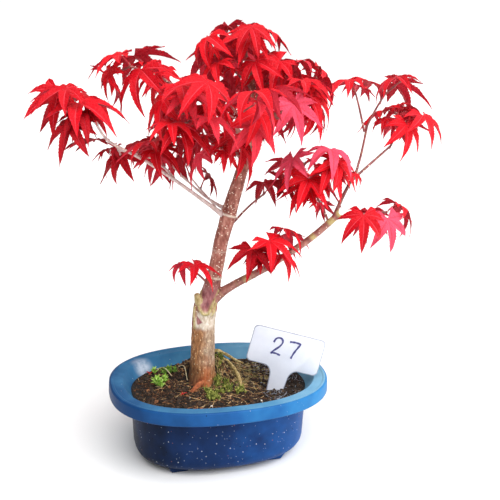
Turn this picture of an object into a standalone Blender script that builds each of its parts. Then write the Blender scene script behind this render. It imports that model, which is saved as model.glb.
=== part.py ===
"""A Japanese maple bonsai in a long oval pot, with a plant label pushed into its soil.

The pot's long side lies along X and its front faces -Y. The origin is under the middle of the pot,
on the surface that its four feet stand on.
"""

import math
import random

import bpy
from mathutils import Matrix, Vector
from mathutils.bvhtree import BVHTree

MM = 0.001
GAP = 0.3 * MM
LINE_STEPS = 40

# Pot
RIM_LENGTH = 180 * MM
RIM_WIDTH = 137 * MM
POT_HEIGHT = 66.5 * MM
LIP_HEIGHT = 10.8 * MM
LEDGE = 11.7 * MM
BODY_INSET = 18.2 * MM
WALL = 3.2 * MM
FLOOR = 4.5 * MM
FOOT_HEIGHT = 4.5 * MM
BASE_ROUNDING = 11 * MM
OVAL_POWER = 2.36
OVAL_SIDES = 40
FOOT_SIZE = (17 * MM, 11 * MM)
FOOT_SPREAD = (39 * MM, 28 * MM)
FOOT_TAPER = 0.75
FOOT_ROOT = 1.15
REST_PAD_SIZE = (12 * MM, 12 * MM)

# The pot's inner side, as inset and height: under its ledge, the slope's foot, the wall's foot, the floor
INNER_SIDE = (
    (LEDGE, POT_HEIGHT - 1.5 * MM),
    (BODY_INSET + WALL - 0.6 * MM, POT_HEIGHT - LIP_HEIGHT - 3 * MM),
    (BODY_INSET + WALL, FOOT_HEIGHT + BASE_ROUNDING),
    (BODY_INSET + WALL + 0.6 * BASE_ROUNDING, FOOT_HEIGHT + FLOOR),
)

# Soil
SOIL_EDGE = 57 * MM
SOIL_SEAT = 54.5 * MM
SEAT_RADIUS = 15 * MM
LUMP_HEIGHT = 0.9 * MM

# Two heaps behind the trunk: height, place and spread
MOUNDS = ((17 * MM, (4 * MM, 24 * MM), 14 * MM), (10 * MM, (-18 * MM, 31 * MM), 14 * MM))

# The rings of the soil's top: the share of the way in from the pot's edge to the trunk's seat, and how
# fully the ring follows the lumpy shape
SOIL_RINGS = ((0.2, 0.3), (0.4, 0.65), (0.6, 1.0), (0.78, 1.0), (0.9, 0.9), (1.0, 0.0))

# Trunk and boughs
TRUNK_SIDES = 12
TRUNK_STEPS = 24
FLARE = 3.2 * MM
FLARE_HEIGHT = 9 * MM
FLARE_ROOTS = 5
FLARE_DIP = 0.45
FLARE_TURN = 0.6
THICK_LIMB = 2.5 * MM

# Label
LABEL_WIDTH = 60 * MM
LABEL_HEAD = 29 * MM
LABEL_STAKE = 15 * MM
LABEL_STAKE_END = 11 * MM
LABEL_LENGTH = 78 * MM
LABEL_BURIED = 26 * MM
LABEL_THICKNESS = 1.0 * MM
LABEL_CORNER = 4 * MM
LABEL_NECK = 9 * MM
LABEL_POINT = 9 * MM
LABEL_FOOT = (42, -19, 55)
LABEL_YAW = -14
LABEL_LEAN = 4
LABEL_TURN = 17

# Leaves: five lobes, whose lengths, half widths and outline are shares of the middle lobe's length
LOBE_ANGLES = (-92, -46, 0, 46, 92)
LOBE_LENGTHS = (0.6, 0.9, 1.0, 0.9, 0.6)
LOBE_WIDTH = 0.137
SHORT_LOBE = 0.95
SINUS_REACH = 0.4
SHOULDER_REACH = 0.32
SHOULDER_SHARE = 0.2
KEEL = 0.045
BASE_REACH = 0.09
LEAF_THICKNESS = 0.022
NARROW_LOBE = 0.7

# Twigs and stalks
STALK_RADIUS = 0.7 * MM
STALK_SEAT = 0.4
STEM_RADIUS = 1.15 * MM
STEM_TAPER = 0.75
STEM_RISE = 0.04
TWIG_SHARE = 0.3
TWIG_RADII = (0.8 * STEM_RADIUS, 0.65 * STEM_RADIUS)
BUD_DEPTH = 0.07
PAIR_TURN = 30
TRIES = 12

# What the seeds draw from: shares of the lobe's length, and angles in degrees
TWIG_REACH = (0.3, 0.6)
TWIG_LEAN = (25, 60)
STALK_REACH = (0.3, 0.75)
STALK_LEAN = (10, 75)
LIFT = (-0.2, 0.6)
LEAF_SIZE = (0.82, 1.15)
LEAF_SWING = (-65, 65)
LEAF_PITCH = (0, 62)
LEAF_ROLL = (-32, 32)
LEAF_BEND = (30, 85)


def mm(x, y, z):
    """A point given in millimetres."""
    return Vector((x, y, z)) * MM


# The trunk: the points it runs through, in millimetres, and its radii there
TRUNK_LINE = (
    ((-12, 12, 54.8), 10.6),
    ((-11.6, 11, 85), 9.8),
    ((-11, 10.5, 112), 9.5),
    ((-9.4, 9.5, 123), 9.9),
    ((-6.8, 8.2, 133), 7.6),
    ((-2.9, 6, 152), 5.9),
    ((1.4, 4, 178), 5.7),
    ((7, 2.5, 201), 6.1),
    ((14.7, 2, 228), 5.0),
    ((20.1, 2, 245), 4.6),
    ((24.5, 2, 262), 4.0),
    ((26.3, 4, 290), 2.7),
    ((21.5, 6, 316), 1.6),
)

# Every other limb: its parent, how far along that it starts, its radius there, and the points it runs
# through, each with its radius
LIMBS = {
    "stub_left": ("trunk", 0.258, 2.9, ((-15.2, 6.6, 129.5), 3.2), ((-18, 5.7, 135.5), 1.8)),
    "bough_right": ("trunk", 0.283, 4.2, ((9, 2, 141), 3.2), ((37.5, -6, 158), 2.8)),
    "bough_right_outer": ("bough_right", 1.0, 2.8, ((69, -13, 181), 2.7), ((92.5, -17, 202), 2.6)),
    "bough_right_rise": ("bough_right_outer", 0.9, 1.6, ((95.2, -16, 216), 1.4), ((107, -12.5, 235), 1.2)),
    "bough_right_top": ("bough_right_rise", 1.0, 1.1, ((111.5, -10, 249), 1.0), ((116, -8, 270), 0.9)),
    "bough_right_far": ("bough_right_rise", 0.8, 1.1, ((122.5, -12, 243.5), 1.0), ((135, -12, 254), 0.9)),
    "bough_right_low": ("bough_right_outer", 0.93, 1.5, ((103, -20.5, 200), 1.2)),
    "bough_left": ("trunk", 0.572, 1.8, ((-18, 0, 216), 1.5), ((-40, -4, 232.5), 1.35)),
    "bough_left_outer": ("bough_left", 1.0, 1.3, ((-60, -8, 246), 1.2), ((-80, -11, 257), 1.1)),
    "bough_left_end": ("bough_left_outer", 1.0, 1.05, ((-88, -12.5, 263), 1.0), ((-95, -14, 274), 0.9)),
    "bough_left_inner": ("trunk", 0.589, 1.3, ((-10, 10, 214), 1.05), ((-28, 17, 230), 0.95)),
    "bough_crown_left": ("trunk", 0.794, 2.6, ((6, -4, 272), 2.1), ((-16, -9, 288), 1.6)),
    "bough_crown_left_end": ("bough_crown_left", 1.0, 1.5, ((-30, -12, 296), 1.3), ((-42, -14, 302), 1.1)),
    "bough_crown_right": ("trunk", 0.839, 2.4, ((40, -2, 277), 1.9), ((50, -6, 287), 1.5)),
    "bough_front": ("trunk", 0.76, 2.0, ((21, -16, 257), 1.6), ((16, -30, 268), 1.3)),
    "bough_back_left": ("trunk", 0.74, 2.2, ((9, 24, 255), 1.8), ((-4, 42, 270), 1.4)),
    "bough_back_right": ("trunk", 0.774, 2.2, ((37, 25, 258), 1.8), ((54, 42, 270), 1.4)),
}

# Each mass of leaves: its limb, how far along that its stem starts, where the stem ends, how many leaves
# it carries at most, their middle lobe's length, and the seed of its twigs
MASSES = {
    "leaves_left_tip": ("bough_left_end", 1.0, (-112, -15, 287), 5, 35, 48),
    "leaves_left_hanging": ("bough_left_end", 0.94, (-96, -27, 279), 4, 33, 136),
    "leaves_left_under": ("bough_left", 0.97, (-52, 0, 246), 5, 31, 17),
    "leaves_left_shade": ("bough_left_outer", 0.97, (-76, 5, 249), 5, 30, 247),
    "leaves_left_inner": ("bough_left_inner", 1.0, (-38, 21, 241), 4, 30, 22),
    "leaves_left_trunk": ("trunk", 0.575, (-12, 22, 218), 2, 27, 403),
    "leaves_right_trunk": ("trunk", 0.565, (38, 9, 215), 2, 28, 351),
    "leaves_low_left": ("trunk", 0.39, (-24, 3, 158), 2, 25, 261),
    "leaves_low_right": ("bough_right", 0.97, (38, -20, 178), 6, 31, 555),
    "leaves_right_inner": ("bough_right_outer", 0.84, (64, -6, 235), 5, 34, 278),
    "leaves_right_cluster": ("bough_right_rise", 0.93, (78, -28, 238), 5, 34, 875),
    "leaves_right_low": ("bough_right_low", 1.0, (131, -23, 203), 4, 34, 810),
    "leaves_right_low_near": ("bough_right_low", 0.9, (107, -28, 199), 2, 34, 868),
    "leaves_right_top": ("bough_right_top", 1.0, (131, -6, 295), 3, 33, 28),
    "leaves_right_top_single": ("bough_right_top", 0.93, (106, -2, 298), 2, 30, 471),
    "leaves_right_far": ("bough_right_far", 1.0, (146, -11, 272), 5, 34, 706),
    "leaves_crown_tip": ("trunk", 1.0, (17, 5, 333), 5, 33, 706),
    "leaves_crown_tip_left": ("trunk", 0.95, (-12, -2, 325), 5, 33, 180),
    "leaves_crown_tip_right": ("trunk", 0.93, (46, 0, 308), 5, 33, 175),
    "leaves_upper_left": ("bough_crown_left_end", 1.0, (-70, -12, 313), 5, 34, 408),
    "leaves_upper_left_low": ("bough_crown_left_end", 0.94, (-42, -26, 292), 5, 32, 201),
    "leaves_crown_left": ("bough_crown_left", 0.95, (-30, -38, 280), 6, 31, 7),
    "leaves_crown_front": ("bough_front", 1.0, (-2, -54, 283), 6, 32, 182),
    "leaves_crown_middle": ("bough_front", 0.92, (32, -50, 282), 5, 32, 57),
    "leaves_crown_low": ("trunk", 0.745, (-8, -32, 257), 5, 30, 445),
    "leaves_crown_right": ("bough_crown_right", 1.0, (70, -10, 299), 4, 34, 398),
    "leaves_crown_right_low": ("bough_crown_right", 0.93, (58, -32, 288), 4, 31, 141),
    "leaves_back_left": ("bough_back_left", 1.0, (-26, 58, 283), 6, 32, 217),
    "leaves_back_left_low": ("bough_back_left", 0.95, (-22, 44, 262), 5, 31, 426),
    "leaves_back_right": ("bough_back_right", 1.0, (76, 56, 282), 6, 32, 298),
    "leaves_back_middle": ("bough_back_right", 0.95, (38, 66, 276), 6, 31, 533),
    "leaves_back_top": ("trunk", 0.88, (30, 40, 308), 6, 32, 83),
}


def oval(inset, z):
    """The pot's outline at one height: its rim's squared-off oval, drawn in by inset."""
    half_length, half_width = RIM_LENGTH / 2 - inset, RIM_WIDTH / 2 - inset
    power = 2 / OVAL_POWER
    points = []
    for step in range(OVAL_SIDES):
        turn = math.tau * step / OVAL_SIDES
        along, across = math.cos(turn), math.sin(turn)
        x = half_length * math.copysign(abs(along) ** power, along)
        y = half_width * math.copysign(abs(across) ** power, across)
        points.append(Vector((x, y, z)))
    return points


def loft(rings):
    """Vertices and faces of a closed skin over rings of equally many points, lowest ring first."""
    sides = len(rings[0])
    verts = [point for ring in rings for point in ring]
    faces = [tuple(reversed(range(sides)))]
    for level in range(len(rings) - 1):
        low, high = level * sides, (level + 1) * sides
        for side in range(sides):
            after = (side + 1) % sides
            faces.append((low + side, low + after, high + after, high + side))
    faces.append(tuple(range(len(verts) - sides, len(verts))))
    return verts, faces


def material(name, colour, roughness):
    made = bpy.data.materials.get(name) or bpy.data.materials.new(name)
    made.use_nodes = True
    shader = made.node_tree.nodes["Principled BSDF"]
    shader.inputs["Base Color"].default_value = (*colour, 1)
    shader.inputs["Roughness"].default_value = roughness
    made.diffuse_color = (*colour, 1)
    return made


def add_object(name, verts, faces, finish, collection=None):
    mesh = bpy.data.meshes.new(name)
    mesh.from_pydata([tuple(v) for v in verts], [], faces)
    mesh.materials.append(finish)
    made = bpy.data.objects.new(name, mesh)
    (collection or bpy.context.scene.collection).objects.link(made)
    return made


def shade_round(obj, degrees=35):
    obj.data.shade_smooth()
    obj.data.set_sharp_from_angle(angle=math.radians(degrees))


def apply_modifier(obj, modifier):
    """Keeps what the modifier makes as the object's own mesh."""
    graph = bpy.context.evaluated_depsgraph_get()
    mesh = bpy.data.meshes.new_from_object(obj.evaluated_get(graph))
    mesh.name = obj.name
    obj.modifiers.remove(modifier)
    obj.data = mesh


def cut(obj, cutter):
    """Cuts obj by another object, and removes that."""
    modifier = obj.modifiers.new("cut", "BOOLEAN")
    modifier.operation = "DIFFERENCE"
    modifier.object = cutter
    apply_modifier(obj, modifier)
    bpy.data.objects.remove(cutter)


def join(obj, pieces, finish, solver="EXACT"):
    """Joins obj and more skins into one solid by one union."""
    others = bpy.data.collections.new("others")
    bpy.context.scene.collection.children.link(others)
    for verts, faces in pieces:
        add_object("piece", verts, faces, finish, others)
    modifier = obj.modifiers.new("join", "BOOLEAN")
    modifier.operation = "UNION"
    modifier.solver = solver
    modifier.operand_type = "COLLECTION"
    modifier.collection = others
    apply_modifier(obj, modifier)
    for piece in list(others.objects):
        bpy.data.objects.remove(piece)
    bpy.data.collections.remove(others)


def smooth_line(points, radii, steps):
    """Catmull-Rom points through the given ones, with the radius carried along."""
    ends = [points[0] * 2 - points[1], *points, points[-1] * 2 - points[-2]]
    spans = len(points) - 1
    line = []
    for step in range(steps + 1):
        place = min(step * spans / steps, spans - 1e-9)
        span = int(place)
        t = place - span
        before, start, end, after = ends[span : span + 4]
        bend = 2 * before - 5 * start + 4 * end - after
        swing = 3 * start - before - 3 * end + after
        point = 0.5 * (2 * start + (end - before) * t + bend * t**2 + swing * t**3)
        line.append((point, radii[span] + (radii[span + 1] - radii[span]) * t))
    return line


def limb_line(name, steps):
    """A limb's middle line. It starts on its parent's."""
    points, radii = [], []
    through = TRUNK_LINE
    if name != "trunk":
        parent, share, root_radius, *through = LIMBS[name]
        points.append(limb_at(parent, share)[0])
        radii.append(root_radius * MM)
    points += [mm(*point) for point, _ in through]
    radii += [radius * MM for _, radius in through]
    return smooth_line(points, radii, steps)


def limb_at(name, share):
    """The point a share of the way along a limb's line, its radius there, and the way it runs."""
    line = limb_line(name, LINE_STEPS)
    place = share * LINE_STEPS
    index = min(int(place), LINE_STEPS - 1)
    (start, thick), (end, thin) = line[index : index + 2]
    radius = thick + (thin - thick) * (place - index)
    return start.lerp(end, place - index), radius, (end - start).normalized()


def tube(line, sides, swell=None, extra=0.0):
    """A closed tube round a line of (point, radius). swell(level, turn) adds to the radius there."""
    points = [p for p, _ in line]
    rings = []
    across = None
    for level, (point, radius) in enumerate(line):
        ahead = points[min(level + 1, len(points) - 1)] - points[max(level - 1, 0)]
        ahead.normalize()
        if across is None:
            across = ahead.orthogonal() if abs(ahead.x) > 0.9 else Vector((1, 0, 0))
        across = (across - ahead * across.dot(ahead)).normalized()
        beside = ahead.cross(across)
        ring = []
        for side in range(sides):
            turn = math.tau * side / sides
            reach = radius + extra + (swell(level, turn) if swell else 0)
            ring.append(point + (across * math.cos(turn) + beside * math.sin(turn)) * reach)
        rings.append(ring)
    return loft(rings)


def foot_skin(x, y, size):
    """A foot that narrows towards the ground. Its top is sunk into the pot's floor."""
    rings = []
    for z, scale in ((0, FOOT_TAPER), (FOOT_HEIGHT + FLOOR / 2, FOOT_ROOT)):
        half_x, half_y = size[0] / 2 * scale, size[1] / 2 * scale
        corners = ((-1, -1), (1, -1), (1, 1), (-1, 1))
        rings.append([Vector((x + sx * half_x, y + sy * half_y, z)) for sx, sy in corners])
    return loft(rings)


def make_pot(finish):
    """One moulded piece: feet, rounded base, upright wall, and a rim with a flat ledge and a lip."""
    lip_foot = POT_HEIGHT - LIP_HEIGHT
    outside = (
        (BODY_INSET + BASE_ROUNDING, FOOT_HEIGHT),
        (BODY_INSET + 0.42 * BASE_ROUNDING, FOOT_HEIGHT + 0.18 * BASE_ROUNDING),
        (BODY_INSET + 0.1 * BASE_ROUNDING, FOOT_HEIGHT + 0.55 * BASE_ROUNDING),
        (BODY_INSET, FOOT_HEIGHT + 1.4 * BASE_ROUNDING),
        (BODY_INSET - 0.8 * MM, lip_foot),
        (0.9 * MM, lip_foot + 0.4 * MM),
        (0.0, lip_foot + 2.2 * MM),
        (0.4 * MM, POT_HEIGHT - 1.4 * MM),
        (1.8 * MM, POT_HEIGHT),
    )
    ledge = ((LEDGE - 1.2 * MM, POT_HEIGHT - 0.3 * MM),)
    pot = add_object("pot", *loft([oval(*level) for level in outside + ledge + INNER_SIDE]), finish)
    feet = [(sx * FOOT_SPREAD[0], sy * FOOT_SPREAD[1], FOOT_SIZE) for sx in (-1, 1) for sy in (-1, 1)]
    feet.append((0, 0, REST_PAD_SIZE))
    join(pot, [foot_skin(*foot) for foot in feet], finish)
    shade_round(pot)
    return pot


def soil_height(x, y):
    """The soil's lumpy top, which heaps up behind the trunk."""
    top = SOIL_SEAT + 1.5 * MM + LUMP_HEIGHT * math.sin(210 * x + 1.3) * math.cos(260 * y - 0.4)
    for height, (centre_x, centre_y), spread in MOUNDS:
        away = math.hypot(x - centre_x, y - centre_y) / spread
        top += height * math.exp(-(away**2))
    return top


def make_soil(finish):
    """The soil fills the pot to just under its ledge. A flat seat under the trunk takes its cut."""
    top_edge, slope_foot, wall_foot, floor_edge = INNER_SIDE
    share = (top_edge[1] - SOIL_EDGE) / (top_edge[1] - slope_foot[1])
    soil_side = [
        (floor_edge[0], floor_edge[1] + GAP),
        (wall_foot[0], wall_foot[1] + 2 * GAP),
        slope_foot,
        (top_edge[0] + (slope_foot[0] - top_edge[0]) * share, SOIL_EDGE),
    ]
    rings = [oval(inset + 2 * GAP, z) for inset, z in soil_side]
    edge = rings[-1]
    foot = mm(*TRUNK_LINE[0][0][:2], 0)
    for inward, blend in SOIL_RINGS:
        level = []
        for step, rim_point in enumerate(edge):
            turn = math.tau * step / OVAL_SIDES
            seat = foot + Vector((math.cos(turn), math.sin(turn), 0)) * SEAT_RADIUS
            spot = rim_point.lerp(seat, inward)
            top = SOIL_EDGE + (soil_height(spot.x, spot.y) - SOIL_EDGE) * blend
            spot.z = top if blend else SOIL_SEAT
            level.append(spot)
        rings.append(level)
    return add_object("soil", *loft(rings), finish)


def trunk_skin(extra=0.0):
    """The trunk, with shallow root flares round its foot, and its first ring cut level."""
    line = limb_line("trunk", TRUNK_STEPS)

    def swell(level, turn):
        fade = math.exp((line[0][0].z - line[level][0].z) / FLARE_HEIGHT)
        return FLARE * fade * (1 - FLARE_DIP + FLARE_DIP * math.cos(FLARE_ROOTS * turn + FLARE_TURN))

    verts, faces = tube(line, TRUNK_SIDES, swell, extra)
    for vert in verts[:TRUNK_SIDES]:
        vert.z = SOIL_SEAT + GAP - extra
    return verts, faces


def limb_skin(name, extra=0.0):
    """Any limb's skin, swollen by extra, which lengthens its tip too."""
    if name == "trunk":
        return trunk_skin(extra)
    line = limb_line(name, 2 * (len(LIMBS[name]) - 3))
    tip, radius = line[-1]
    line[-1] = (tip + (tip - line[-2][0]).normalized() * extra, radius)
    return tube(line, 8 if line[0][1] > THICK_LIMB else 6, extra=extra)


def make_limb(name, finish):
    """One tapering limb, whose root is trimmed to sit just off its parent."""
    limb = add_object(name, *limb_skin(name), finish)
    cut(limb, add_object("parent", *limb_skin(LIMBS[name][0], GAP), finish))
    shade_round(limb)
    return limb


def leaf_skin(length, bend, fat=0.0):
    """A maple leaf: lobes that arch down from the stalk's end, folded along their midribs.

    The leaf points along +X with its face up. Its two skins share the outline, and fat swells it.
    """
    half_thick = LEAF_THICKNESS * length / 2 + fat
    curve = math.radians(bend)

    def arch(reach, turn, side):
        """The point at that reach along a lobe, and to one side of its midrib."""
        out = length * math.sin(curve * reach) / curve
        fall = length * (1 - math.cos(curve * reach)) / curve
        point = Vector((out, side, -fall))
        point.rotate(Matrix.Rotation(turn, 3, "Z"))
        return point

    outline, ribs = [Vector((-BASE_REACH * length - fat, 0, 0))], []
    for number, (degrees, share) in enumerate(zip(LOBE_ANGLES, LOBE_LENGTHS)):
        turn = math.radians(degrees)
        half = LOBE_WIDTH * length * (NARROW_LOBE + (1 - NARROW_LOBE) * share) + fat
        if number:
            between = math.radians((degrees + LOBE_ANGLES[number - 1]) / 2)
            outline.append(arch(SINUS_REACH + fat / length, between, 0))
        widest = SHOULDER_REACH + SHOULDER_SHARE * share
        shoulders = [arch(widest, turn, side) + Vector((0, 0, KEEL * length)) for side in (-half, half)]
        outline += [shoulders[0], arch(share + 2 * fat / length, turn, 0), shoulders[1]]
        ribs.append(arch(widest, turn, 0) if share > SHORT_LOBE else None)
    middle, rise = Vector((0, 0, half_thick + 0.4 * MM)), Vector((0, 0, half_thick))
    verts, faces, rim = list(outline), [], len(outline)
    for up in (1, -1):
        centre = len(verts)
        verts.append(middle * up)
        fan = [(centre, 0, 1), (centre, rim - 1, 0)]
        for lobe, rib_point in enumerate(ribs):
            first = 1 + 4 * lobe
            rib = centre
            if rib_point:
                rib = len(verts)
                verts.append(rib_point + rise * up)
                fan += [(centre, first, rib), (centre, rib, first + 2)]
            fan += [(rib, first, first + 1), (rib, first + 1, first + 2)]
            if lobe < len(ribs) - 1:
                fan += [(centre, first + 2, first + 3), (centre, first + 3, first + 4)]
        faces += fan if up > 0 else [tuple(reversed(face)) for face in fan]
    return verts, faces


def curved(start, end, rise, radii, steps):
    """A thin line that bows upwards between two points."""
    line = []
    thick, thin = radii
    for step in range(steps + 1):
        t = step / steps
        point = start.lerp(end, t) + Vector((0, 0, rise * 4 * t * (1 - t)))
        line.append((point, thick + (thin - thick) * t))
    return line


def stem_of(name):
    """The stem that carries a mass, from 0.3 mm off its limb to its tip."""
    limb, share, tip, _, _, _ = MASSES[name]
    centre, radius, ahead = limb_at(limb, share)
    end = mm(*tip)
    way = (end - centre).normalized()
    if share >= 1:
        start = centre + ahead * GAP
    else:
        out = (way - ahead * way.dot(ahead)).normalized()
        slant = math.sqrt(max(0.0, 1 - way.dot(out) ** 2))
        start = centre + out * (radius + 1.15 * GAP + STEM_RADIUS * slant)
    return curved(start, end, STEM_RISE * (end - start).length, (STEM_RADIUS, STEM_TAPER * STEM_RADIUS), 3)


def leaf_frame(heading, pitch, roll):
    """A leaf's axes: +X along the heading, tipped down by pitch and rolled about its length."""
    turn = math.atan2(heading.y, heading.x)
    return Matrix.Rotation(turn, 3, "Z") @ Matrix.Rotation(pitch, 3, "Y") @ Matrix.Rotation(roll, 3, "X")


def draw_angle(rng, degrees):
    return math.radians(rng.uniform(*degrees))


def draw_way(rng, along, side, lean_range):
    """A way out from a bud: sideways, leaning along the twig by an angle in the range."""
    lean = draw_angle(rng, lean_range)
    way = side * math.cos(lean) + along * math.sin(lean)
    way.z += rng.uniform(*LIFT)
    return way.normalized()


def draw_leaf(rng, bud, length):
    """One leaf at a bud: a stalk that reaches out, and a blade that hangs from the stalk's end."""
    node, along, side = bud
    way = draw_way(rng, along, side, STALK_LEAN)
    reach = length * rng.uniform(*STALK_REACH)
    size = length * rng.uniform(*LEAF_SIZE)
    heading = Matrix.Rotation(draw_angle(rng, LEAF_SWING), 3, "Z") @ way
    frame = leaf_frame(heading, draw_angle(rng, LEAF_PITCH), draw_angle(rng, LEAF_ROLL))
    bend = rng.uniform(*LEAF_BEND)
    return {"node": node, "joint": node + way * reach, "frame": frame, "size": size, "bend": bend}


def leaf_mesh(leaf, fat=0.0):
    verts, faces = leaf_skin(leaf["size"], leaf["bend"], fat)
    return [leaf["frame"] @ v + leaf["joint"] for v in verts], faces


def stalk_mesh(leaf, fat=0.0, start=0.0):
    """The leaf's stalk, or what is left of it past a share of its length."""
    end = leaf["joint"] - leaf["frame"] @ Vector((STALK_SEAT * BASE_REACH * leaf["size"], 0, 0))
    root = leaf["node"].lerp(end, start)
    return tube([(root, STALK_RADIUS + fat), (end, 0.7 * STALK_RADIUS + fat)], 3)


def tree_of(parts):
    """A search tree over several skins, to test what touches them."""
    verts, faces = [], []
    for some_verts, some_faces in parts:
        base = len(verts)
        verts += some_verts
        faces += [tuple(i + base for i in f) for f in some_faces]
    return BVHTree.FromPolygons([tuple(v) for v in verts], faces)


def touches(tree, others):
    return any(tree.overlap(other) for other in others)


def buds_on(stem, count):
    """Opposite buds at even steps along a stem, each pair turned from the last, and one at the tip."""
    pairs = max(1, count // 2)
    buds = []
    for pair in range(pairs):
        spot = (pair + 1) / pairs * (len(stem) - 1)
        span = min(len(stem) - 2, int(spot))
        start, end = stem[span][0], stem[span + 1][0]
        along = (end - start).normalized()
        level = Vector((-along.y, along.x, 0)).normalized()
        twist = math.radians(PAIR_TURN * (pair % 2))
        side = level * math.cos(twist) + along.cross(level) * math.sin(twist)
        node = start.lerp(end, min(1 - BUD_DEPTH, spot - span))
        buds += [(node, along, side), (node, along, -side)]
    return buds + [(stem[-1][0].lerp(stem[-2][0], BUD_DEPTH), along, along)]


def side_twig(rng, bud, length):
    """A short twig from a bud, and the pair of buds at its end."""
    node, along, side = bud
    way = draw_way(rng, along, side, TWIG_LEAN)
    twig = curved(node, node + way * length * rng.uniform(*TWIG_REACH), 0, TWIG_RADII, 1)
    across = way.cross(Vector((0, 0, 1))).normalized()
    end = node.lerp(twig[-1][0], 1 - BUD_DEPTH)
    return twig, [(end, way, across), (end, way, -across)]


def grow(name, obstacles):
    """The twigs and leaves of a mass, by its seed. What would touch anything is drawn again or left out."""
    _, _, _, count, lobe, seed = MASSES[name]
    rng = random.Random(seed)
    stem = stem_of(name)
    twigs, leaves, own = [stem], [], [tree_of([tube(stem, 3)])]
    buds = [(bud, rng.random() < TWIG_SHARE) for bud in buds_on(stem, count)]
    while buds and len(leaves) < count:
        bud, puts_out_twig = buds.pop(0)
        if puts_out_twig:
            twig, ends = side_twig(rng, bud, lobe * MM)
            (root, thick), (tip, thin) = twig
            wide = [(root, thick + GAP), (tip, thin + GAP)]
            free = [(root.lerp(tip, 0.3), thick), wide[1]]
            clear = not touches(tree_of([tube(wide, 3)]), obstacles)
            if clear and not touches(tree_of([tube(free, 3)]), own):
                twigs.append(twig)
                own.append(tree_of([tube(twig, 3)]))
                buds = [(end, False) for end in ends] + buds
                continue
        for _ in range(TRIES):
            leaf = draw_leaf(rng, bud, lobe * MM)
            if touches(tree_of([leaf_mesh(leaf, 1.2 * GAP), stalk_mesh(leaf, GAP)]), obstacles):
                continue
            if touches(tree_of([leaf_mesh(leaf, 0.5 * GAP), stalk_mesh(leaf, GAP, 0.25)]), own):
                continue
            leaves.append(leaf)
            own.append(tree_of([leaf_mesh(leaf), stalk_mesh(leaf, 0, 0.25)]))
            break
    return twigs, leaves


def mass_parts(twigs, leaves):
    parts = [tube(twig, 3) for twig in twigs]
    for leaf in leaves:
        parts += [stalk_mesh(leaf), leaf_mesh(leaf)]
    return parts


def make_mass(name, parts, finish):
    """Joins a mass's stem, twigs, stalks and leaves into one solid."""
    mass = add_object(name, *parts[0], finish)
    join(mass, parts[1:], finish, solver="MANIFOLD")


def label_outline(extra):
    """The label's T-shaped outline about its stake's middle line, swollen by extra."""
    half, stake, corner = LABEL_WIDTH / 2, LABEL_STAKE / 2, LABEL_CORNER
    top = LABEL_LENGTH - LABEL_BURIED
    neck = top - LABEL_HEAD
    right = [
        (0.18 * LABEL_STAKE_END + extra, -LABEL_BURIED - extra),
        (LABEL_STAKE_END / 2 + extra, -LABEL_BURIED + LABEL_POINT),
        (stake + extra, neck - LABEL_NECK),
        (stake + 0.25 * LABEL_NECK + extra, neck - LABEL_NECK / 3),
        (stake + 0.8 * LABEL_NECK + extra, neck - extra),
        (half - corner, neck - extra),
        (half - 0.3 * corner + extra, neck + 0.3 * corner - extra),
        (half + extra, neck + corner),
        (half + extra, top - corner),
        (half - 0.3 * corner + extra, top - 0.3 * corner + extra),
        (half - corner, top + extra),
    ]
    return right + [(-x, z) for x, z in reversed(right)]


def label_plate(name, extra, finish):
    place = Matrix.Translation(mm(*LABEL_FOOT))
    for degrees, axis in ((LABEL_YAW, "Z"), (-LABEL_LEAN, "X"), (LABEL_TURN, "Y")):
        place = place @ Matrix.Rotation(math.radians(degrees), 4, axis)
    thick = LABEL_THICKNESS / 2 + extra
    rings = [[place @ Vector((x, y, z)) for x, z in label_outline(extra)] for y in (thick, -thick)]
    return add_object(name, *loft(rings), finish)


def make_label(finish, soil):
    """A T-shaped label of sheet plastic, whose stake stands in a slot in the soil."""
    cut(soil, label_plate("slot", GAP, finish))
    return label_plate("plant_label", 0.0, finish)


def search_tree(obj):
    mesh = obj.data
    return BVHTree.FromPolygons([v.co for v in mesh.vertices], [tuple(p.vertices) for p in mesh.polygons])


def make_frame():
    """Everything but the leaves."""
    pot_blue = material("blue_plastic", (0.02, 0.09, 0.33), 0.4)
    earth = material("potting_soil", (0.05, 0.03, 0.018), 0.95)
    bark = material("maple_bark", (0.23, 0.11, 0.07), 0.75)
    white = material("white_plastic", (0.86, 0.88, 0.93), 0.45)
    trunk = add_object("trunk", *trunk_skin(), bark)
    shade_round(trunk)
    soil = make_soil(earth)
    solids = [make_pot(pot_blue), soil, make_label(white, soil), trunk]
    return solids + [make_limb(name, bark) for name in LIMBS]


def main():
    for obj in list(bpy.data.objects):
        bpy.data.objects.remove(obj)
    red = material("red_leaf", (0.62, 0.015, 0.02), 0.45)
    obstacles = {obj.name: search_tree(obj) for obj in make_frame()}
    for name in MASSES:
        obstacles[name] = tree_of([tube([(p, r + GAP) for p, r in stem_of(name)], 3)])
    for name in MASSES:
        twigs, leaves = grow(name, [tree for other, tree in obstacles.items() if other != name])
        parts = mass_parts(twigs, leaves)
        obstacles[name] = tree_of(parts)
        make_mass(name, parts, red)
        print(name, len(twigs), "twigs", len(leaves), "leaves")


main()
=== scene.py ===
# %% [markdown]
# A Japanese maple bonsai in a blue oval pot
#
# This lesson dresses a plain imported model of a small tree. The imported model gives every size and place.
# Each step names what a piece is on the real plant, how it could be made in Blender, and why it is made
# the way it is. Lengths are in metres, so a value in millimetres is multiplied by MM.

import math
import random
from collections import namedtuple

import bpy
import numpy as np
from mathutils import Matrix, Quaternion, Vector, noise
from mathutils.bvhtree import BVHTree


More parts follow.
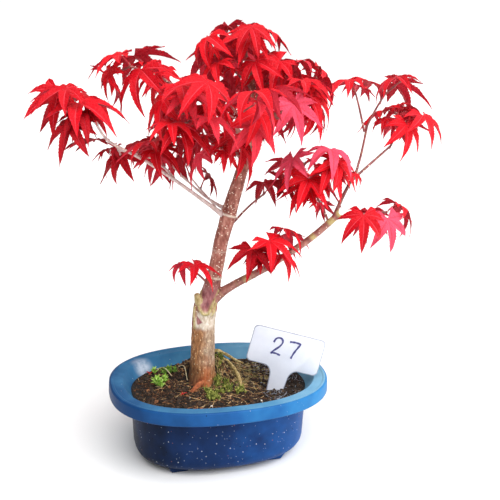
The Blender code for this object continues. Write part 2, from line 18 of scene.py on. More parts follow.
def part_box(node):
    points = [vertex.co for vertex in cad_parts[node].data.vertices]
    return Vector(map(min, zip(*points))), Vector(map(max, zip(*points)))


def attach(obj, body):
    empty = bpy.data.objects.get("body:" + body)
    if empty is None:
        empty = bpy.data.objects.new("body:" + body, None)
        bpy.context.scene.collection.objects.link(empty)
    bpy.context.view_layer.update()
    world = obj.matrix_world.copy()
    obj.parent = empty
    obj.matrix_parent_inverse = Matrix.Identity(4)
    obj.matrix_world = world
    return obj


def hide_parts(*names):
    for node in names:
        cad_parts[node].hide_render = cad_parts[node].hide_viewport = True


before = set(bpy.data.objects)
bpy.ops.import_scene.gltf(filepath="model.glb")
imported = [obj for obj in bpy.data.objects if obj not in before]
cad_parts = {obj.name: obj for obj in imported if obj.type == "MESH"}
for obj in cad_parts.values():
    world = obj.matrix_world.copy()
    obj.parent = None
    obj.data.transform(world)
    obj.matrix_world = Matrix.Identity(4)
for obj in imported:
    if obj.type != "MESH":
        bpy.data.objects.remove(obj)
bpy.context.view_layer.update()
MM = 0.001
GAP = 0.3 * MM
print("packed nodes:", len(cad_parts))

# %% [markdown]
# The camera
#
# The photograph looks down on the pot from the front left, a little over half a metre away. A camera can be
# turned by three angles, or aimed at a point. Aiming is easier to read, so the camera looks at a point in
# the trunk and is then rolled by the degree or so that the picture leans.

# %% The camera
CAMERA_PLACE = Vector((-136.1, -556.4, 326.0)) * MM
CAMERA_AIM = Vector((24.3, 0, 171.4)) * MM
CAMERA_ROLL = 1.2
LENS = 54


def add_camera():
    camera = bpy.data.objects.new("camera", bpy.data.cameras.new("camera"))
    camera.data.lens = LENS
    camera.data.clip_start = 10 * MM
    camera.location = CAMERA_PLACE
    aim = (CAMERA_AIM - CAMERA_PLACE).to_track_quat("-Z", "Y")
    roll = Quaternion((0, 0, 1), math.radians(CAMERA_ROLL))
    camera.rotation_euler = (aim @ roll).to_euler()
    bpy.context.scene.collection.objects.link(camera)
    bpy.context.scene.camera = camera
    print("camera", round((CAMERA_AIM - CAMERA_PLACE).length / MM), "mm from its aim")


add_camera()

# %% [markdown]
# Colours and shader nodes
#
# Colours are easier to judge as the hex values that a paint program shows. Shaders want linear light, so one
# function turns the one into the other. One more adds any node, sets it and links it, which keeps the
# materials below short.

# %% Helpers for colours and nodes


def linear(text):
    """The linear RGBA of an sRGB hex colour."""
    parts = [int(text[i : i + 2], 16) / 255 for i in (1, 3, 5)]
    return (*[p / 12.92 if p <= 0.04045 else ((p + 0.055) / 1.055) ** 2.4 for p in parts], 1)


def add_node(tree, kind, inputs=None, **settings):
    """Adds a node. inputs maps a socket's name or number to a value, or to the output that feeds it."""
    made = tree.nodes.new("ShaderNode" + kind)
    for name, value in settings.items():
        setattr(made, name, value)
    for socket, value in (inputs or {}).items():
        if isinstance(value, bpy.types.NodeSocket):
            tree.links.new(value, made.inputs[socket])
        else:
            made.inputs[socket].default_value = value
    return made


def new_finish(name, colour, roughness, ior=1.5, coat=0.0):
    """A material of one plain colour, with its tree and its shader."""
    made = bpy.data.materials.new(name)
    made.use_nodes = True
    made.diffuse_color = linear(colour)
    shader = made.node_tree.nodes["Principled BSDF"]
    shader.inputs["Base Color"].default_value = linear(colour)
    shader.inputs["Roughness"].default_value = roughness
    shader.inputs["IOR"].default_value = ior
    shader.inputs["Coat Weight"].default_value = coat
    return made, made.node_tree, shader


def place_in_mm(tree, stretch=(1, 1, 1)):
    """Coordinates in millimetres, so that a pattern's scale is one over its size in millimetres."""
    where = add_node(tree, "TexCoord").outputs["Object"]
    scale = [s / MM for s in stretch]
    return add_node(tree, "Mapping", {"Vector": where, "Scale": scale}).outputs["Vector"]


def grain(tree, where, size_mm, detail=3.0, roughness=0.55):
    """Noise whose blobs are about size_mm across."""
    settings = {"Vector": where, "Scale": 1 / size_mm, "Detail": detail, "Roughness": roughness}
    return add_node(tree, "TexNoise", settings).outputs["Fac"]


def ramp(tree, factor, *stops):
    """A colour ramp through (place, hex colour) stops."""
    made = add_node(tree, "ValToRGB", {"Fac": factor})
    points = made.color_ramp.elements
    while len(points) < len(stops):
        points.new(0.5)
    for point, (place, colour) in zip(points, stops):
        point.position = place
        point.color = linear(colour)
    return made.outputs["Color"]


def blend_colours(tree, factor, low, high):
    settings = {"Factor": factor, 6: low, 7: high}
    return add_node(tree, "Mix", settings, data_type="RGBA").outputs[2]


def between(tree, value, low, high):
    """0 below low, 1 above high, and smooth in between."""
    settings = {"Value": value, "From Min": low, "From Max": high}
    return add_node(tree, "MapRange", settings, interpolation_type="SMOOTHSTEP").outputs["Result"]


def emboss(tree, shader, height, depth_mm, strength=1.0):
    """Bumps the surface by a height from 0 to 1 that stands for depth_mm."""
    settings = {"Height": height, "Distance": depth_mm * MM, "Strength": strength}
    bump = add_node(tree, "Bump", settings)
    tree.links.new(bump.outputs["Normal"], shader.inputs["Normal"])


def paint(tree, shader, colour, height, depth_mm):
    """Gives a finish its colours, and bumps by a height from 0 to 1 that stands for depth_mm."""
    tree.links.new(colour, shader.inputs["Base Color"])
    emboss(tree, shader, height, depth_mm)


def mottled(name, colour, roughness, stops, size_mm, depth_mm, detail=3.0, ior=1.5):
    """A finish whose grain, of blobs of size_mm, sets both its colours and its bumps."""
    finish, tree, shader = new_finish(name, colour, roughness, ior)
    blobs = grain(tree, place_in_mm(tree), size_mm, detail)
    paint(tree, shader, ramp(tree, blobs, *stops), blobs, depth_mm)
    return finish


def spots(tree, where, spacing_mm, size_mm, share):
    """Round spots of about size_mm, in a share of the cells of a jittered grid of that spacing."""
    cells = add_node(tree, "TexVoronoi", {"Vector": where, "Scale": 1 / spacing_mm})
    edge = size_mm / spacing_mm / 2
    disc = between(tree, cells.outputs["Distance"], edge * 1.15, edge * 0.7)
    chosen = add_node(tree, "SeparateColor", {"Color": cells.outputs["Color"]}).outputs[0]
    kept = add_node(tree, "Math", {0: chosen, 1: share}, operation="LESS_THAN").outputs[0]
    return add_node(tree, "Math", {0: disc, 1: kept}, operation="MULTIPLY").outputs[0]


# %% [markdown]
# Skins and pieces
#
# Nearly everything here is a skin over rings of points: the pot, a bough, a needle in the litter. Blender
# could loft such rings with curves or a Screw modifier, but plain rings let each piece have its own relief.
# Skins are kept as lists of points and faces until many of them are joined into one piece.

# %% Helpers for skins and pieces


def loft(rings):
    """A closed skin over rings of equally many points."""
    sides = len(rings[0])
    verts = [point for ring in rings for point in ring]
    faces = [tuple(reversed(range(sides)))]
    for level in range(len(rings) - 1):
        low, high = level * sides, (level + 1) * sides
        for side in range(sides):
            after = (side + 1) % sides
            faces.append((low + side, low + after, high + after, high + side))
    faces.append(tuple(range(len(verts) - sides, len(verts))))
    return verts, faces


def tube(line, sides, swell=None):
    """A closed tube round a line of (point, radius). swell(level, turn) adds to the radius there."""
    points = [p for p, _ in line]
    rings = []
    across = None
    for level, (point, radius) in enumerate(line):
        ahead = points[min(level + 1, len(points) - 1)] - points[max(level - 1, 0)]
        ahead.normalize()
        if across is None:
            across = ahead.orthogonal() if abs(ahead.x) > 0.9 else Vector((1, 0, 0))
        across = (across - ahead * across.dot(ahead)).normalized()
        beside = ahead.cross(across)
        ring = []
        for side in range(sides):
            turn = math.tau * side / sides
            reach = radius + (swell(level, turn) if swell else 0)
            ring.append(point + (across * math.cos(turn) + beside * math.sin(turn)) * reach)
        rings.append(ring)
    return loft(rings)


def gather(skins):
    """One list of points and one of faces from many skins."""
    verts, faces = [], []
    for some_verts, some_faces in skins:
        base = len(verts)
        verts.extend(some_verts)
        faces.extend(tuple(i + base for i in face) for face in some_faces)
    return verts, faces


def make_object(name, verts, faces, finishes, face_finishes=None):
    mesh = bpy.data.meshes.new(name)
    mesh.from_pydata([tuple(v) for v in verts], [], faces)
    for finish in finishes:
        mesh.materials.append(finish)
    if face_finishes is not None:
        mesh.polygons.foreach_set("material_index", np.asarray(face_finishes, np.int32))
    made = bpy.data.objects.new(name, mesh)
    bpy.context.scene.collection.objects.link(made)
    return made


def shade_round(obj, degrees=None):
    """Shades an object smooth, all but the edges that turn by more than degrees."""
    obj.data.shade_smooth()
    if degrees:
        obj.data.set_sharp_from_angle(angle=math.radians(degrees))


def settle(obj, slot, *nodes):
    """Hangs a finished piece on the part's one body, and says what it stands for."""
    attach(obj, "root")
    if nodes:
        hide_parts(*nodes)
    faces = sum(len(face.vertices) - 2 for face in obj.data.polygons)
    print(obj.name, faces, "triangles", "for " + ", ".join(nodes) if nodes else "")


def make_piece(name, slot, parts, degrees=None):
    """One finished piece from many pairs of a skin and its finish."""
    numbers = {}
    for _, finish in parts:
        numbers.setdefault(finish, len(numbers))
    face_finishes = [numbers[finish] for (_, faces), finish in parts for _ in faces]
    made = make_object(name, *gather([skin for skin, _ in parts]), numbers, face_finishes)
    shade_round(made, degrees)
    settle(made, slot)


def apply_modifiers(obj):
    """Makes the shape that an object's modifiers give it its own."""
    graph = bpy.context.evaluated_depsgraph_get()
    mesh = bpy.data.meshes.new_from_object(obj.evaluated_get(graph))
    obj.modifiers.clear()
    obj.data = mesh


def join_solid(obj, *others):
    """Joins closed objects into one closed solid."""
    for other in others:
        modifier = obj.modifiers.new("join", "BOOLEAN")
        modifier.operation = "UNION"
        modifier.solver = "MANIFOLD"
        modifier.object = other
    apply_modifiers(obj)
    for other in others:
        bpy.data.objects.remove(other)


# %% [markdown]
# The floor and the light
#
# The photograph is a cut-out on white, lit from above and from the right, so the pot's left side is dark. An
# area lamp over the plant would leave a bright patch on the floor. A sun with a wide angle lights the whole
# floor evenly and still throws soft shadows, and one big weak softbox at the right rounds the pot. The sky
# is bright on the right and dim on the left, as in a studio with one white wall, and it is dimmer than the
# white that the camera sees of it, or it would fill every shadow in.

# %% The floor and the light
FLOOR_SIZE = 40.0
SUN_FROM = Vector((0.1, -0.9, 1.5))
SUN_ANGLE = 60
SUN_STRENGTH = 3.7
SKY_STRENGTHS = (0.1, 0.95)
SOFTBOX_FROM = Vector((0.8, -0.5, 0.42))
SOFTBOX_TO = Vector((0, 0, 0.12))
SOFTBOX_SIZE = 1.0
SOFTBOX_POWER = 3.0
SEEN_STRENGTH = 1.05


def add_floor():
    half = FLOOR_SIZE / 2
    corners = [(-half, -half, 0), (half, -half, 0), (half, half, 0), (-half, half, 0)]
    finish, tree, shader = new_finish("matt_white_paper", "#F6F6F6", 0.9)
    fibres = grain(tree, place_in_mm(tree), 0.6)
    emboss(tree, shader, fibres, 0.02)
    floor = make_object("floor", corners, [(0, 1, 2, 3)], [finish])


def hang_light(lamp, place, target):
    hung = bpy.data.objects.new(lamp.name, lamp)
    hung.location = place
    hung.rotation_euler = (target - place).to_track_quat("-Z", "Y").to_euler()
    bpy.context.scene.collection.objects.link(hung)


def add_light():
    world = bpy.data.worlds.new("white_sky")
    world.use_nodes = True
    sky = world.node_tree.nodes["Background"]
    way = add_node(world.node_tree, "TexCoord").outputs["Generated"]
    across = add_node(world.node_tree, "SeparateXYZ", {"Vector": way}).outputs["X"]
    dim, bright = SKY_STRENGTHS
    sided = {"Value": across, "From Min": -1.0, "From Max": 1.0, "To Min": dim, "To Max": bright}
    side = add_node(world.node_tree, "MapRange", sided).outputs["Result"]
    seen = add_node(world.node_tree, "LightPath").outputs["Is Camera Ray"]
    limits = {"Value": seen, "To Min": side, "To Max": SEEN_STRENGTH}
    strength = add_node(world.node_tree, "MapRange", limits).outputs["Result"]
    sky.inputs["Color"].default_value = (1, 1, 1, 1)
    world.node_tree.links.new(strength, sky.inputs["Strength"])
    bpy.context.scene.world = world
    sun = bpy.data.lights.new("sun", "SUN")
    sun.energy = SUN_STRENGTH
    sun.angle = math.radians(SUN_ANGLE)
    hang_light(sun, SUN_FROM, Vector((0, 0, 0)))
    softbox = bpy.data.lights.new("softbox", "AREA")
    softbox.energy = SOFTBOX_POWER
    softbox.size = SOFTBOX_SIZE
    hang_light(softbox, SOFTBOX_FROM, SOFTBOX_TO)
    bpy.context.scene.view_settings.view_transform = "Standard"


add_floor()
add_light()
print("sun", SUN_STRENGTH, "W per square metre, sky", SKY_STRENGTHS)

# %% [markdown]
# The pot's finish
#
# The real pot is moulded polypropylene, coloured right through. Its navy wall, blue lip and pale ledge are
# one plastic drawn in three tones: darker on the wall under the rim, which is painted shade, and paler on
# the ledge that faces up, which is painted light and partly real fading. Its wall is sprinkled with
# splashes of lime and rust and with small pits. Paint masks or an image could place them, but they follow
# no plan, so jittered spots of each kind do it, at the size of the real ones. Random clouds and a slow
# change along the pot drive one colour ramp; the change lightens the pot towards its right, which is
# painted light. A hazy white spot on the inside, at the back on the left, is a painted highlight.

# %% The pot's finish
DUSTY_GLOSS = 0.08
# Painted light: across these millimetres in x the colour moves up its ramp by these shares, lighter on the
# right
PAINTED_LIGHT_ACROSS = (-90.0, 90.0)
PAINTED_LIGHT_SHARES = (0.15, 0.55)
CLOUD_SHARE = 0.3
# Painted highlight: the middle of a hazy white glare inside the pot, its reach and its strength
GLARE_PLACE = (-59, 41, 59)
GLARE_REACH = (13, 2)
GLARE_STRENGTH = 0.7
CLOUD_SIZE = 22
PEEL_SIZE = 0.9

# Each kind of speck: how far apart and how large it is in millimetres, its colour, and whose share it has
SPECKS = (
    (3.6, 0.72, "#DDE3EA", "lime"),
    (1.9, 0.45, "#B9C4D4", "lime"),
    (5.3, 1.1, "#6E4A4E", "rust"),
    (5.1, 1.0, "#080C18", "rust"),
)


def painted_glare_spot(tree, where):
    """How white the painted highlight is at a place: fullest at its middle, and uneven."""
    away = add_node(tree, "VectorMath", {0: where, 1: GLARE_PLACE}, operation="DISTANCE").outputs["Value"]
    haze = between(tree, away, *GLARE_REACH)
    uneven = between(tree, grain(tree, where, 5), 0.0, 0.65)
    patchy = add_node(tree, "Math", {0: haze, 1: uneven}, operation="MULTIPLY").outputs[0]
    return add_node(tree, "Math", {0: patchy, 1: GLARE_STRENGTH}, operation="MULTIPLY").outputs[0]


def speckled_plastic(name, colours, lime_share, rust_share, roughness):
    """Moulded polypropylene: a satin gloss, a clouded tone made lighter towards the right as painted light,
    a painted highlight, lime and rust specks, and a fine orange peel.
    """
    shares = {"lime": lime_share, "rust": rust_share}
    finish, tree, shader = new_finish(name, colours[1], roughness, ior=1.49)
    shader.inputs["Specular IOR Level"].default_value = DUSTY_GLOSS
    where = place_in_mm(tree)
    # Painted light: side lifts the colour towards the pale end of the ramp on the pot's right
    across = add_node(tree, "SeparateXYZ", {"Vector": where}).outputs["X"]
    ends = dict(zip(("From Min", "From Max", "To Min", "To Max"), PAINTED_LIGHT_ACROSS + PAINTED_LIGHT_SHARES))
    side = add_node(tree, "MapRange", {"Value": across, **ends}).outputs["Result"]
    clouds = {0: grain(tree, where, CLOUD_SIZE), 1: CLOUD_SHARE, 2: side}
    clouds_and_painted_light = add_node(tree, "Math", clouds, operation="MULTIPLY_ADD").outputs[0]
    clouded_and_lit_colour = ramp(tree, clouds_and_painted_light, (0.3, colours[0]), (0.5, colours[1]), (0.72, colours[2]))
    # A painted highlight: a hazy white glare on the inside, at the back on the left
    colour = blend_colours(tree, painted_glare_spot(tree, where), clouded_and_lit_colour, linear("#E4ECF6"))
    for spacing, size, tint, kind in SPECKS:
        speck = spots(tree, where, spacing, size, shares[kind])
        colour = blend_colours(tree, speck, colour, linear(tint))
    paint(tree, shader, colour, grain(tree, where, PEEL_SIZE), 0.03)
    return finish


# The wall's darker ramp is painted shade under the rim; the ledge's paler one is partly painted light.
POT_WALL = speckled_plastic("navy_polypropylene", ("#050F20", "#122E5C", "#1E589E"), 0.28, 0.3, 0.45)
POT_LIP = speckled_plastic("blue_polypropylene", ("#133A68", "#1F5590", "#3480B8"), 0.05, 0.03, 0.42)
POT_LEDGE = speckled_plastic("lit_pale_ledge_polypropylene", ("#1F4F7C", "#4584AC", "#78AAC6"), 0.05, 0.05, 0.42)
print("pot finishes:", POT_WALL.name, POT_LIP.name, POT_LEDGE.name)

# %% [markdown]
# The pot
#
# One moulding: four short feet, a rounded base, an upright wall, and a broad rim with a flat ledge and a
# deep lip. Its outline is a squared-off oval, so a Screw modifier, which turns a profile, can't make it. The
# profile is lofted instead: each of its points is an oval, drawn in by so much at such a height, and every
# corner of the profile is rounded by an arc, because a moulding has no sharp edges.

# %% The pot
RIM_LENGTH = 180 * MM
RIM_WIDTH = 137 * MM
POT_HEIGHT = 66.5 * MM
LIP_HEIGHT = 10.8 * MM
LEDGE = 11.7 * MM
BODY_INSET = 18.2 * MM
WALL = 3.2 * MM
FLOOR_THICKNESS = 4.5 * MM
FOOT_HEIGHT = 4.5 * MM
BASE_ROUNDING = 11 * MM
OVAL_POWER = 2.36
FOOT_SIZE = (17 * MM, 11 * MM)
FOOT_SPREAD = (39 * MM, 28 * MM)
FOOT_TAPER = 0.75
FOOT_TOP = 1.15
FOOT_BEVEL = 1.2 * MM
REST_PAD_SIZE = (12 * MM, 12 * MM)
POT_SIDES = 160
ARC_STEPS = 5


def oval_point(turn, inset, z):
    """A point on the pot's outline, drawn in by inset, at a height."""
    power = 2 / OVAL_POWER
    along, across = math.cos(turn), math.sin(turn)
    x = (RIM_LENGTH / 2 - inset) * math.copysign(abs(along) ** power, along)
    y = (RIM_WIDTH / 2 - inset) * math.copysign(abs(across) ** power, across)
    return Vector((x, y, z))


def rounded(corners):
    """A profile of (inset, z, radius, finish) corners, with each one turned into an arc."""
    profile = []
    for number, (inset, z, radius, finish) in enumerate(corners):
        corner = Vector((inset, z))
        if radius == 0 or number in (0, len(corners) - 1):
            profile.append((corner, finish))
            continue
        back = (Vector(corners[number - 1][:2]) - corner).normalized()
        on = (Vector(corners[number + 1][:2]) - corner).normalized()
        half = back.angle(on) / 2
        run = radius / math.tan(half)
        centre = corner + (back + on).normalized() * (radius / math.sin(half))
        start, end = corner + back * run - centre, corner + on * run - centre
        for step in range(ARC_STEPS + 1):
            arm = start.slerp(end, step / ARC_STEPS)
            profile.append((centre + arm.normalized() * radius, finish))
    return profile


def foot_block(x, y, size):
    """A foot that narrows towards the ground, as an object with softened edges."""
    rings = []
    for z, scale in ((0, FOOT_TAPER), (FOOT_HEIGHT + FLOOR_THICKNESS / 2, FOOT_TOP)):
        half_x, half_y = size[0] / 2 * scale, size[1] / 2 * scale
        corners = ((-1, -1), (1, -1), (1, 1), (-1, 1))
        rings.append([Vector((x + sx * half_x, y + sy * half_y, z)) for sx, sy in corners])
    foot = make_object("foot", *loft(rings), [POT_WALL])
    bevel = foot.modifiers.new("soft edges", "BEVEL")
    bevel.width = FOOT_BEVEL
    bevel.segments = 3
    return foot


def make_pot():
    lip_foot = POT_HEIGHT - LIP_HEIGHT
    wall, lip, ledge = 0, 1, 2

    # From under the pot, up its outside and down its inside: how far in from the rim's outermost line, how
    # high, the radius of the corner there, and the finish of the faces on the way to it
    corners = (
        (48 * MM, FOOT_HEIGHT, 0, wall),
        (BODY_INSET + 1.5 * MM, FOOT_HEIGHT, BASE_ROUNDING, wall),
        (BODY_INSET - 0.8 * MM, lip_foot, 1.2 * MM, wall),
        (0.1 * MM, lip_foot + 0.2 * MM, 1.4 * MM, lip),
        (0.6 * MM, POT_HEIGHT, 1.5 * MM, lip),
        (3.6 * MM, POT_HEIGHT - 0.1 * MM, 0.8 * MM, ledge),
        (4.4 * MM, POT_HEIGHT - 0.6 * MM, 0.5 * MM, ledge),
        (LEDGE - 0.4 * MM, POT_HEIGHT - 0.8 * MM, 1.1 * MM, ledge),
        (BODY_INSET + WALL - 0.6 * MM, lip_foot - 3 * MM, 3 * MM, ledge),
        (BODY_INSET + WALL, FOOT_HEIGHT + BASE_ROUNDING, 3 * MM, wall),
        (BODY_INSET + WALL + 0.6 * BASE_ROUNDING, FOOT_HEIGHT + FLOOR_THICKNESS, 0, wall),
    )
    profile = rounded(corners)
    turns = [math.tau * step / POT_SIDES for step in range(POT_SIDES)]
    rings = [[oval_point(turn, spot.x, spot.y) for turn in turns] for spot, _ in profile]
    finishes = [wall] + [finish for _, finish in profile[1:] for _ in turns] + [wall]
    pot = make_object("pot_shell", *loft(rings), [POT_WALL, POT_LIP, POT_LEDGE], finishes)
    corners = [(sx * FOOT_SPREAD[0], sy * FOOT_SPREAD[1]) for sx in (-1, 1) for sy in (-1, 1)]
    feet = [foot_block(x, y, FOOT_SIZE) for x, y in corners]
    join_solid(pot, *feet, foot_block(0, 0, REST_PAD_SIZE))
    shade_round(pot, 40)
    settle(pot, "pot", "pot")


make_pot()

# %% [markdown]
# The soil's finish
#
# Potting soil is damp peat and bark crumbs: nearly black where it is wet, and brown where it has dried. A
# bump could carry all of its grain, but its rough top shows against the pot's edge. So the grain is real
# geometry, and the finish only adds the crumbs that are too fine for the mesh.

# %% The soil's finish
PEAT_STOPS = ((0.3, "#070504"), (0.48, "#130E0A"), (0.62, "#261B14"), (0.78, "#523F2E"))
SOIL_FINISH = mottled("damp_peat", "#2A1E17", 0.95, PEAT_STOPS, 1.6, 0.9, detail=5)
print("soil finish:", SOIL_FINISH.name)

# %% [markdown]
# The soil
#
# The soil fills the pot to just under its ledge and heaps up behind the trunk, where the moss grows. A
# grid could be displaced by a texture. Here rings run in from the pot's oval to the trunk's foot, as they
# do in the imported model, so the top keeps that model's shape and gains only its crumbs.

# %% The soil
SOIL_EDGE = 57 * MM
SOIL_SEAT = 54.5 * MM
SEAT_RADIUS = 15 * MM
SOIL_COVER = 1.5 * MM
LUMP_HEIGHT = 0.9 * MM
LUMP_WAVES = (210, 260)
LUMP_SHIFTS = (1.3, -0.4)
MOUNDS = ((17 * MM, (4 * MM, 24 * MM), 14 * MM), (10 * MM, (-18 * MM, 31 * MM), 14 * MM))

# How far in from the pot's edge to the trunk, and how fully the top follows its lumpy shape there
SOIL_SHARES = (0.0, 0.2, 0.4, 0.6, 1.0)
SOIL_FULLNESS = (0.0, 0.3, 0.65, 1.0, 0.9)
SOIL_INSET = 18.0 * MM
SOIL_SIDES = 200
SOIL_STEPS = 44
SOIL_UNDERSIDE = ((9.5 * MM, 30 * MM), (16 * MM, 22.2 * MM), (52 * MM, 21.6 * MM))
CRUMB_HEIGHT = 1.5 * MM
CLOD_SIZE = 5 * MM
GRAIN_SIZE = 0.9 * MM
CLOD_SHARE = 0.55
GRAIN_SHARE = 0.25
TRUNK_FOOT = Vector((-12, 12, 0)) * MM


def soil_height(x, y):
    """The soil's lumpy top, which heaps up behind the trunk."""
    along = math.sin(LUMP_WAVES[0] * x + LUMP_SHIFTS[0])
    across = math.cos(LUMP_WAVES[1] * y + LUMP_SHIFTS[1])
    top = SOIL_SEAT + SOIL_COVER + LUMP_HEIGHT * along * across
    for height, (centre_x, centre_y), spread in MOUNDS:
        away = math.hypot(x - centre_x, y - centre_y) / spread
        top += height * math.exp(-(away**2))
    return top


def soil_point(turn, inward):
    """A point on the soil's top: inward is 0 at the pot and 1 at the trunk."""
    seat = TRUNK_FOOT + Vector((math.cos(turn), math.sin(turn), 0)) * SEAT_RADIUS
    spot = oval_point(turn, SOIL_INSET, 0).lerp(seat, inward)
    fullness = float(np.interp(inward, SOIL_SHARES, SOIL_FULLNESS))
    spot.z = SOIL_EDGE + (soil_height(spot.x, spot.y) - SOIL_EDGE) * fullness
    return spot


def crumb_height(spot):
    """The height that crumbs add at a spot, from coarse clods to single grains."""
    clods = noise.fractal(spot / CLOD_SIZE, 1.0, 2.1, 3)
    grains = noise.noise(spot / GRAIN_SIZE)
    return CRUMB_HEIGHT * (CLOD_SHARE * clods + GRAIN_SHARE * grains)


def make_soil():
    rings = []
    for z, inset in SOIL_UNDERSIDE:
        rings.append([oval_point(math.tau * side / SOIL_SIDES, inset, z) for side in range(SOIL_SIDES)])
    for step in range(SOIL_STEPS + 1):
        ring = []
        for side in range(SOIL_SIDES):
            spot = soil_point(math.tau * side / SOIL_SIDES, step / SOIL_STEPS)
            spot.z += crumb_height(spot) * min(1.0, 4 * step / SOIL_STEPS)
            ring.append(spot)
        rings.append(ring)
    inner = [spot.lerp(TRUNK_FOOT + Vector((0, 0, spot.z)), 0.7) for spot in rings[-1]]
    rings.append(inner)
    soil = make_object("soil_bed", *loft(rings), [SOIL_FINISH])
    shade_round(soil)
    settle(soil, "soil", "soil")


make_soil()

# %% [markdown]
# The limbs' lines
#
# The trunk and each bough follow a smooth line through a few points, each with its radius, and every bough
# starts on the middle line of the limb that carries it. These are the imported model's own values. Curve
# objects could carry them, but plain lists let the twigs below grow from the same lines.

# %% The limbs' lines
TRUNK_LINE = (
    ((-12, 12, 54.8), 10.6),
    ((-11.6, 11, 85), 9.8),
    ((-11, 10.5, 112), 9.5),
    ((-9.4, 9.5, 123), 9.9),
    ((-6.8, 8.2, 133), 7.6),
    ((-2.9, 6, 152), 5.9),
    ((1.4, 4, 178), 5.7),
    ((7, 2.5, 201), 6.1),
    ((14.7, 2, 228), 5.0),
    ((20.1, 2, 245), 4.6),
    ((24.5, 2, 262), 4.0),
    ((26.3, 4, 290), 2.7),
    ((21.5, 6, 316), 1.6),
)

# Every other limb: its parent, how far along that it starts, its radius there, and the points it runs
# through, each with its radius
LIMBS = {
    "stub_left": ("trunk", 0.258, 2.9, ((-15.2, 6.6, 129.5), 3.2), ((-18, 5.7, 135.5), 1.8)),
    "bough_right": ("trunk", 0.283, 4.2, ((9, 2, 141), 3.2), ((37.5, -6, 158), 2.8)),
    "bough_right_outer": ("bough_right", 1.0, 2.8, ((69, -13, 181), 2.7), ((92.5, -17, 202), 2.6)),
    "bough_right_rise": ("bough_right_outer", 0.9, 1.6, ((95.2, -16, 216), 1.4), ((107, -12.5, 235), 1.2)),
    "bough_right_top": ("bough_right_rise", 1.0, 1.1, ((111.5, -10, 249), 1.0), ((116, -8, 270), 0.9)),
    "bough_right_far": ("bough_right_rise", 0.8, 1.1, ((122.5, -12, 243.5), 1.0), ((135, -12, 254), 0.9)),
    "bough_right_low": ("bough_right_outer", 0.93, 1.5, ((103, -20.5, 200), 1.2)),
    "bough_left": ("trunk", 0.572, 1.8, ((-18, 0, 216), 1.5), ((-40, -4, 232.5), 1.35)),
    "bough_left_outer": ("bough_left", 1.0, 1.3, ((-60, -8, 246), 1.2), ((-80, -11, 257), 1.1)),
    "bough_left_end": ("bough_left_outer", 1.0, 1.05, ((-88, -12.5, 263), 1.0), ((-95, -14, 274), 0.9)),
    "bough_left_inner": ("trunk", 0.589, 1.3, ((-10, 10, 214), 1.05), ((-28, 17, 230), 0.95)),
    "bough_crown_left": ("trunk", 0.794, 2.6, ((6, -4, 272), 2.1), ((-16, -9, 288), 1.6)),
    "bough_crown_left_end": ("bough_crown_left", 1.0, 1.5, ((-30, -12, 296), 1.3), ((-42, -14, 302), 1.1)),
    "bough_crown_right": ("trunk", 0.839, 2.4, ((40, -2, 277), 1.9), ((50, -6, 287), 1.5)),
    "bough_front": ("trunk", 0.76, 2.0, ((21, -16, 257), 1.6), ((16, -30, 268), 1.3)),
    "bough_back_left": ("trunk", 0.74, 2.2, ((9, 24, 255), 1.8), ((-4, 42, 270), 1.4)),
    "bough_back_right": ("trunk", 0.774, 2.2, ((37, 25, 258), 1.8), ((54, 42, 270), 1.4)),
}
LINE_STEPS = 40


def mm(x, y, z):
    """A point given in millimetres."""
    return Vector((x, y, z)) * MM


def smooth_line(points, radii, steps):
    """Catmull-Rom points through the given ones, with the radius carried along."""
    ends = [points[0] * 2 - points[1], *points, points[-1] * 2 - points[-2]]
    spans = len(points) - 1
    line = []
    for step in range(steps + 1):
        place = min(step * spans / steps, spans - 1e-9)
        span = int(place)
        t = place - span
        before, start, end, after = ends[span : span + 4]
        bend = 2 * before - 5 * start + 4 * end - after
        swing = 3 * start - before - 3 * end + after
        point = 0.5 * (2 * start + (end - before) * t + bend * t**2 + swing * t**3)
        line.append((point, radii[span] + (radii[span + 1] - radii[span]) * t))
    return line


def limb_line(name, steps):
    """A limb's middle line. It starts on its parent's."""
    points, radii = [], []
    through = TRUNK_LINE
    if name != "trunk":
        parent, share, root_radius, *through = LIMBS[name]
        points.append(limb_at(parent, share)[0])
        radii.append(root_radius * MM)
    points += [mm(*point) for point, _ in through]
    radii += [radius * MM for _, radius in through]
    return smooth_line(points, radii, steps)


def limb_at(name, share):
    """The point a share of the way along a limb's line, its radius there, and the way it runs."""
    line = limb_line(name, LINE_STEPS)
    place = share * LINE_STEPS
    index = min(int(place), LINE_STEPS - 1)
    (start, thick), (end, thin) = line[index : index + 2]
    radius = thick + (thin - thick) * (place - index)
    return start.lerp(end, place - index), radius, (end - start).normalized()


def line_length(line):
    return sum((b[0] - a[0]).length for a, b in zip(line, line[1:]))


print("limbs:", 1 + len(LIMBS), "trunk", round(line_length(limb_line("trunk", 60)) / MM), "mm long")

# %% [markdown]
# The bark's finish
#
# A grafted maple has three kinds of bark. The stock below the graft is tan, scaly and cracked. The healed
# union is a pale, almost white callus. The slim top is smooth and red-brown with pale pores. Three materials
# would meet at hard borders. One material holds all three instead, and numbers stored on the mesh by the
# code that models the relief say which shows where: the colour then always fits the shape under it.

# %% The bark's finish


def mesh_value(tree, name):
    return add_node(tree, "Attribute", attribute_name=name).outputs["Fac"]


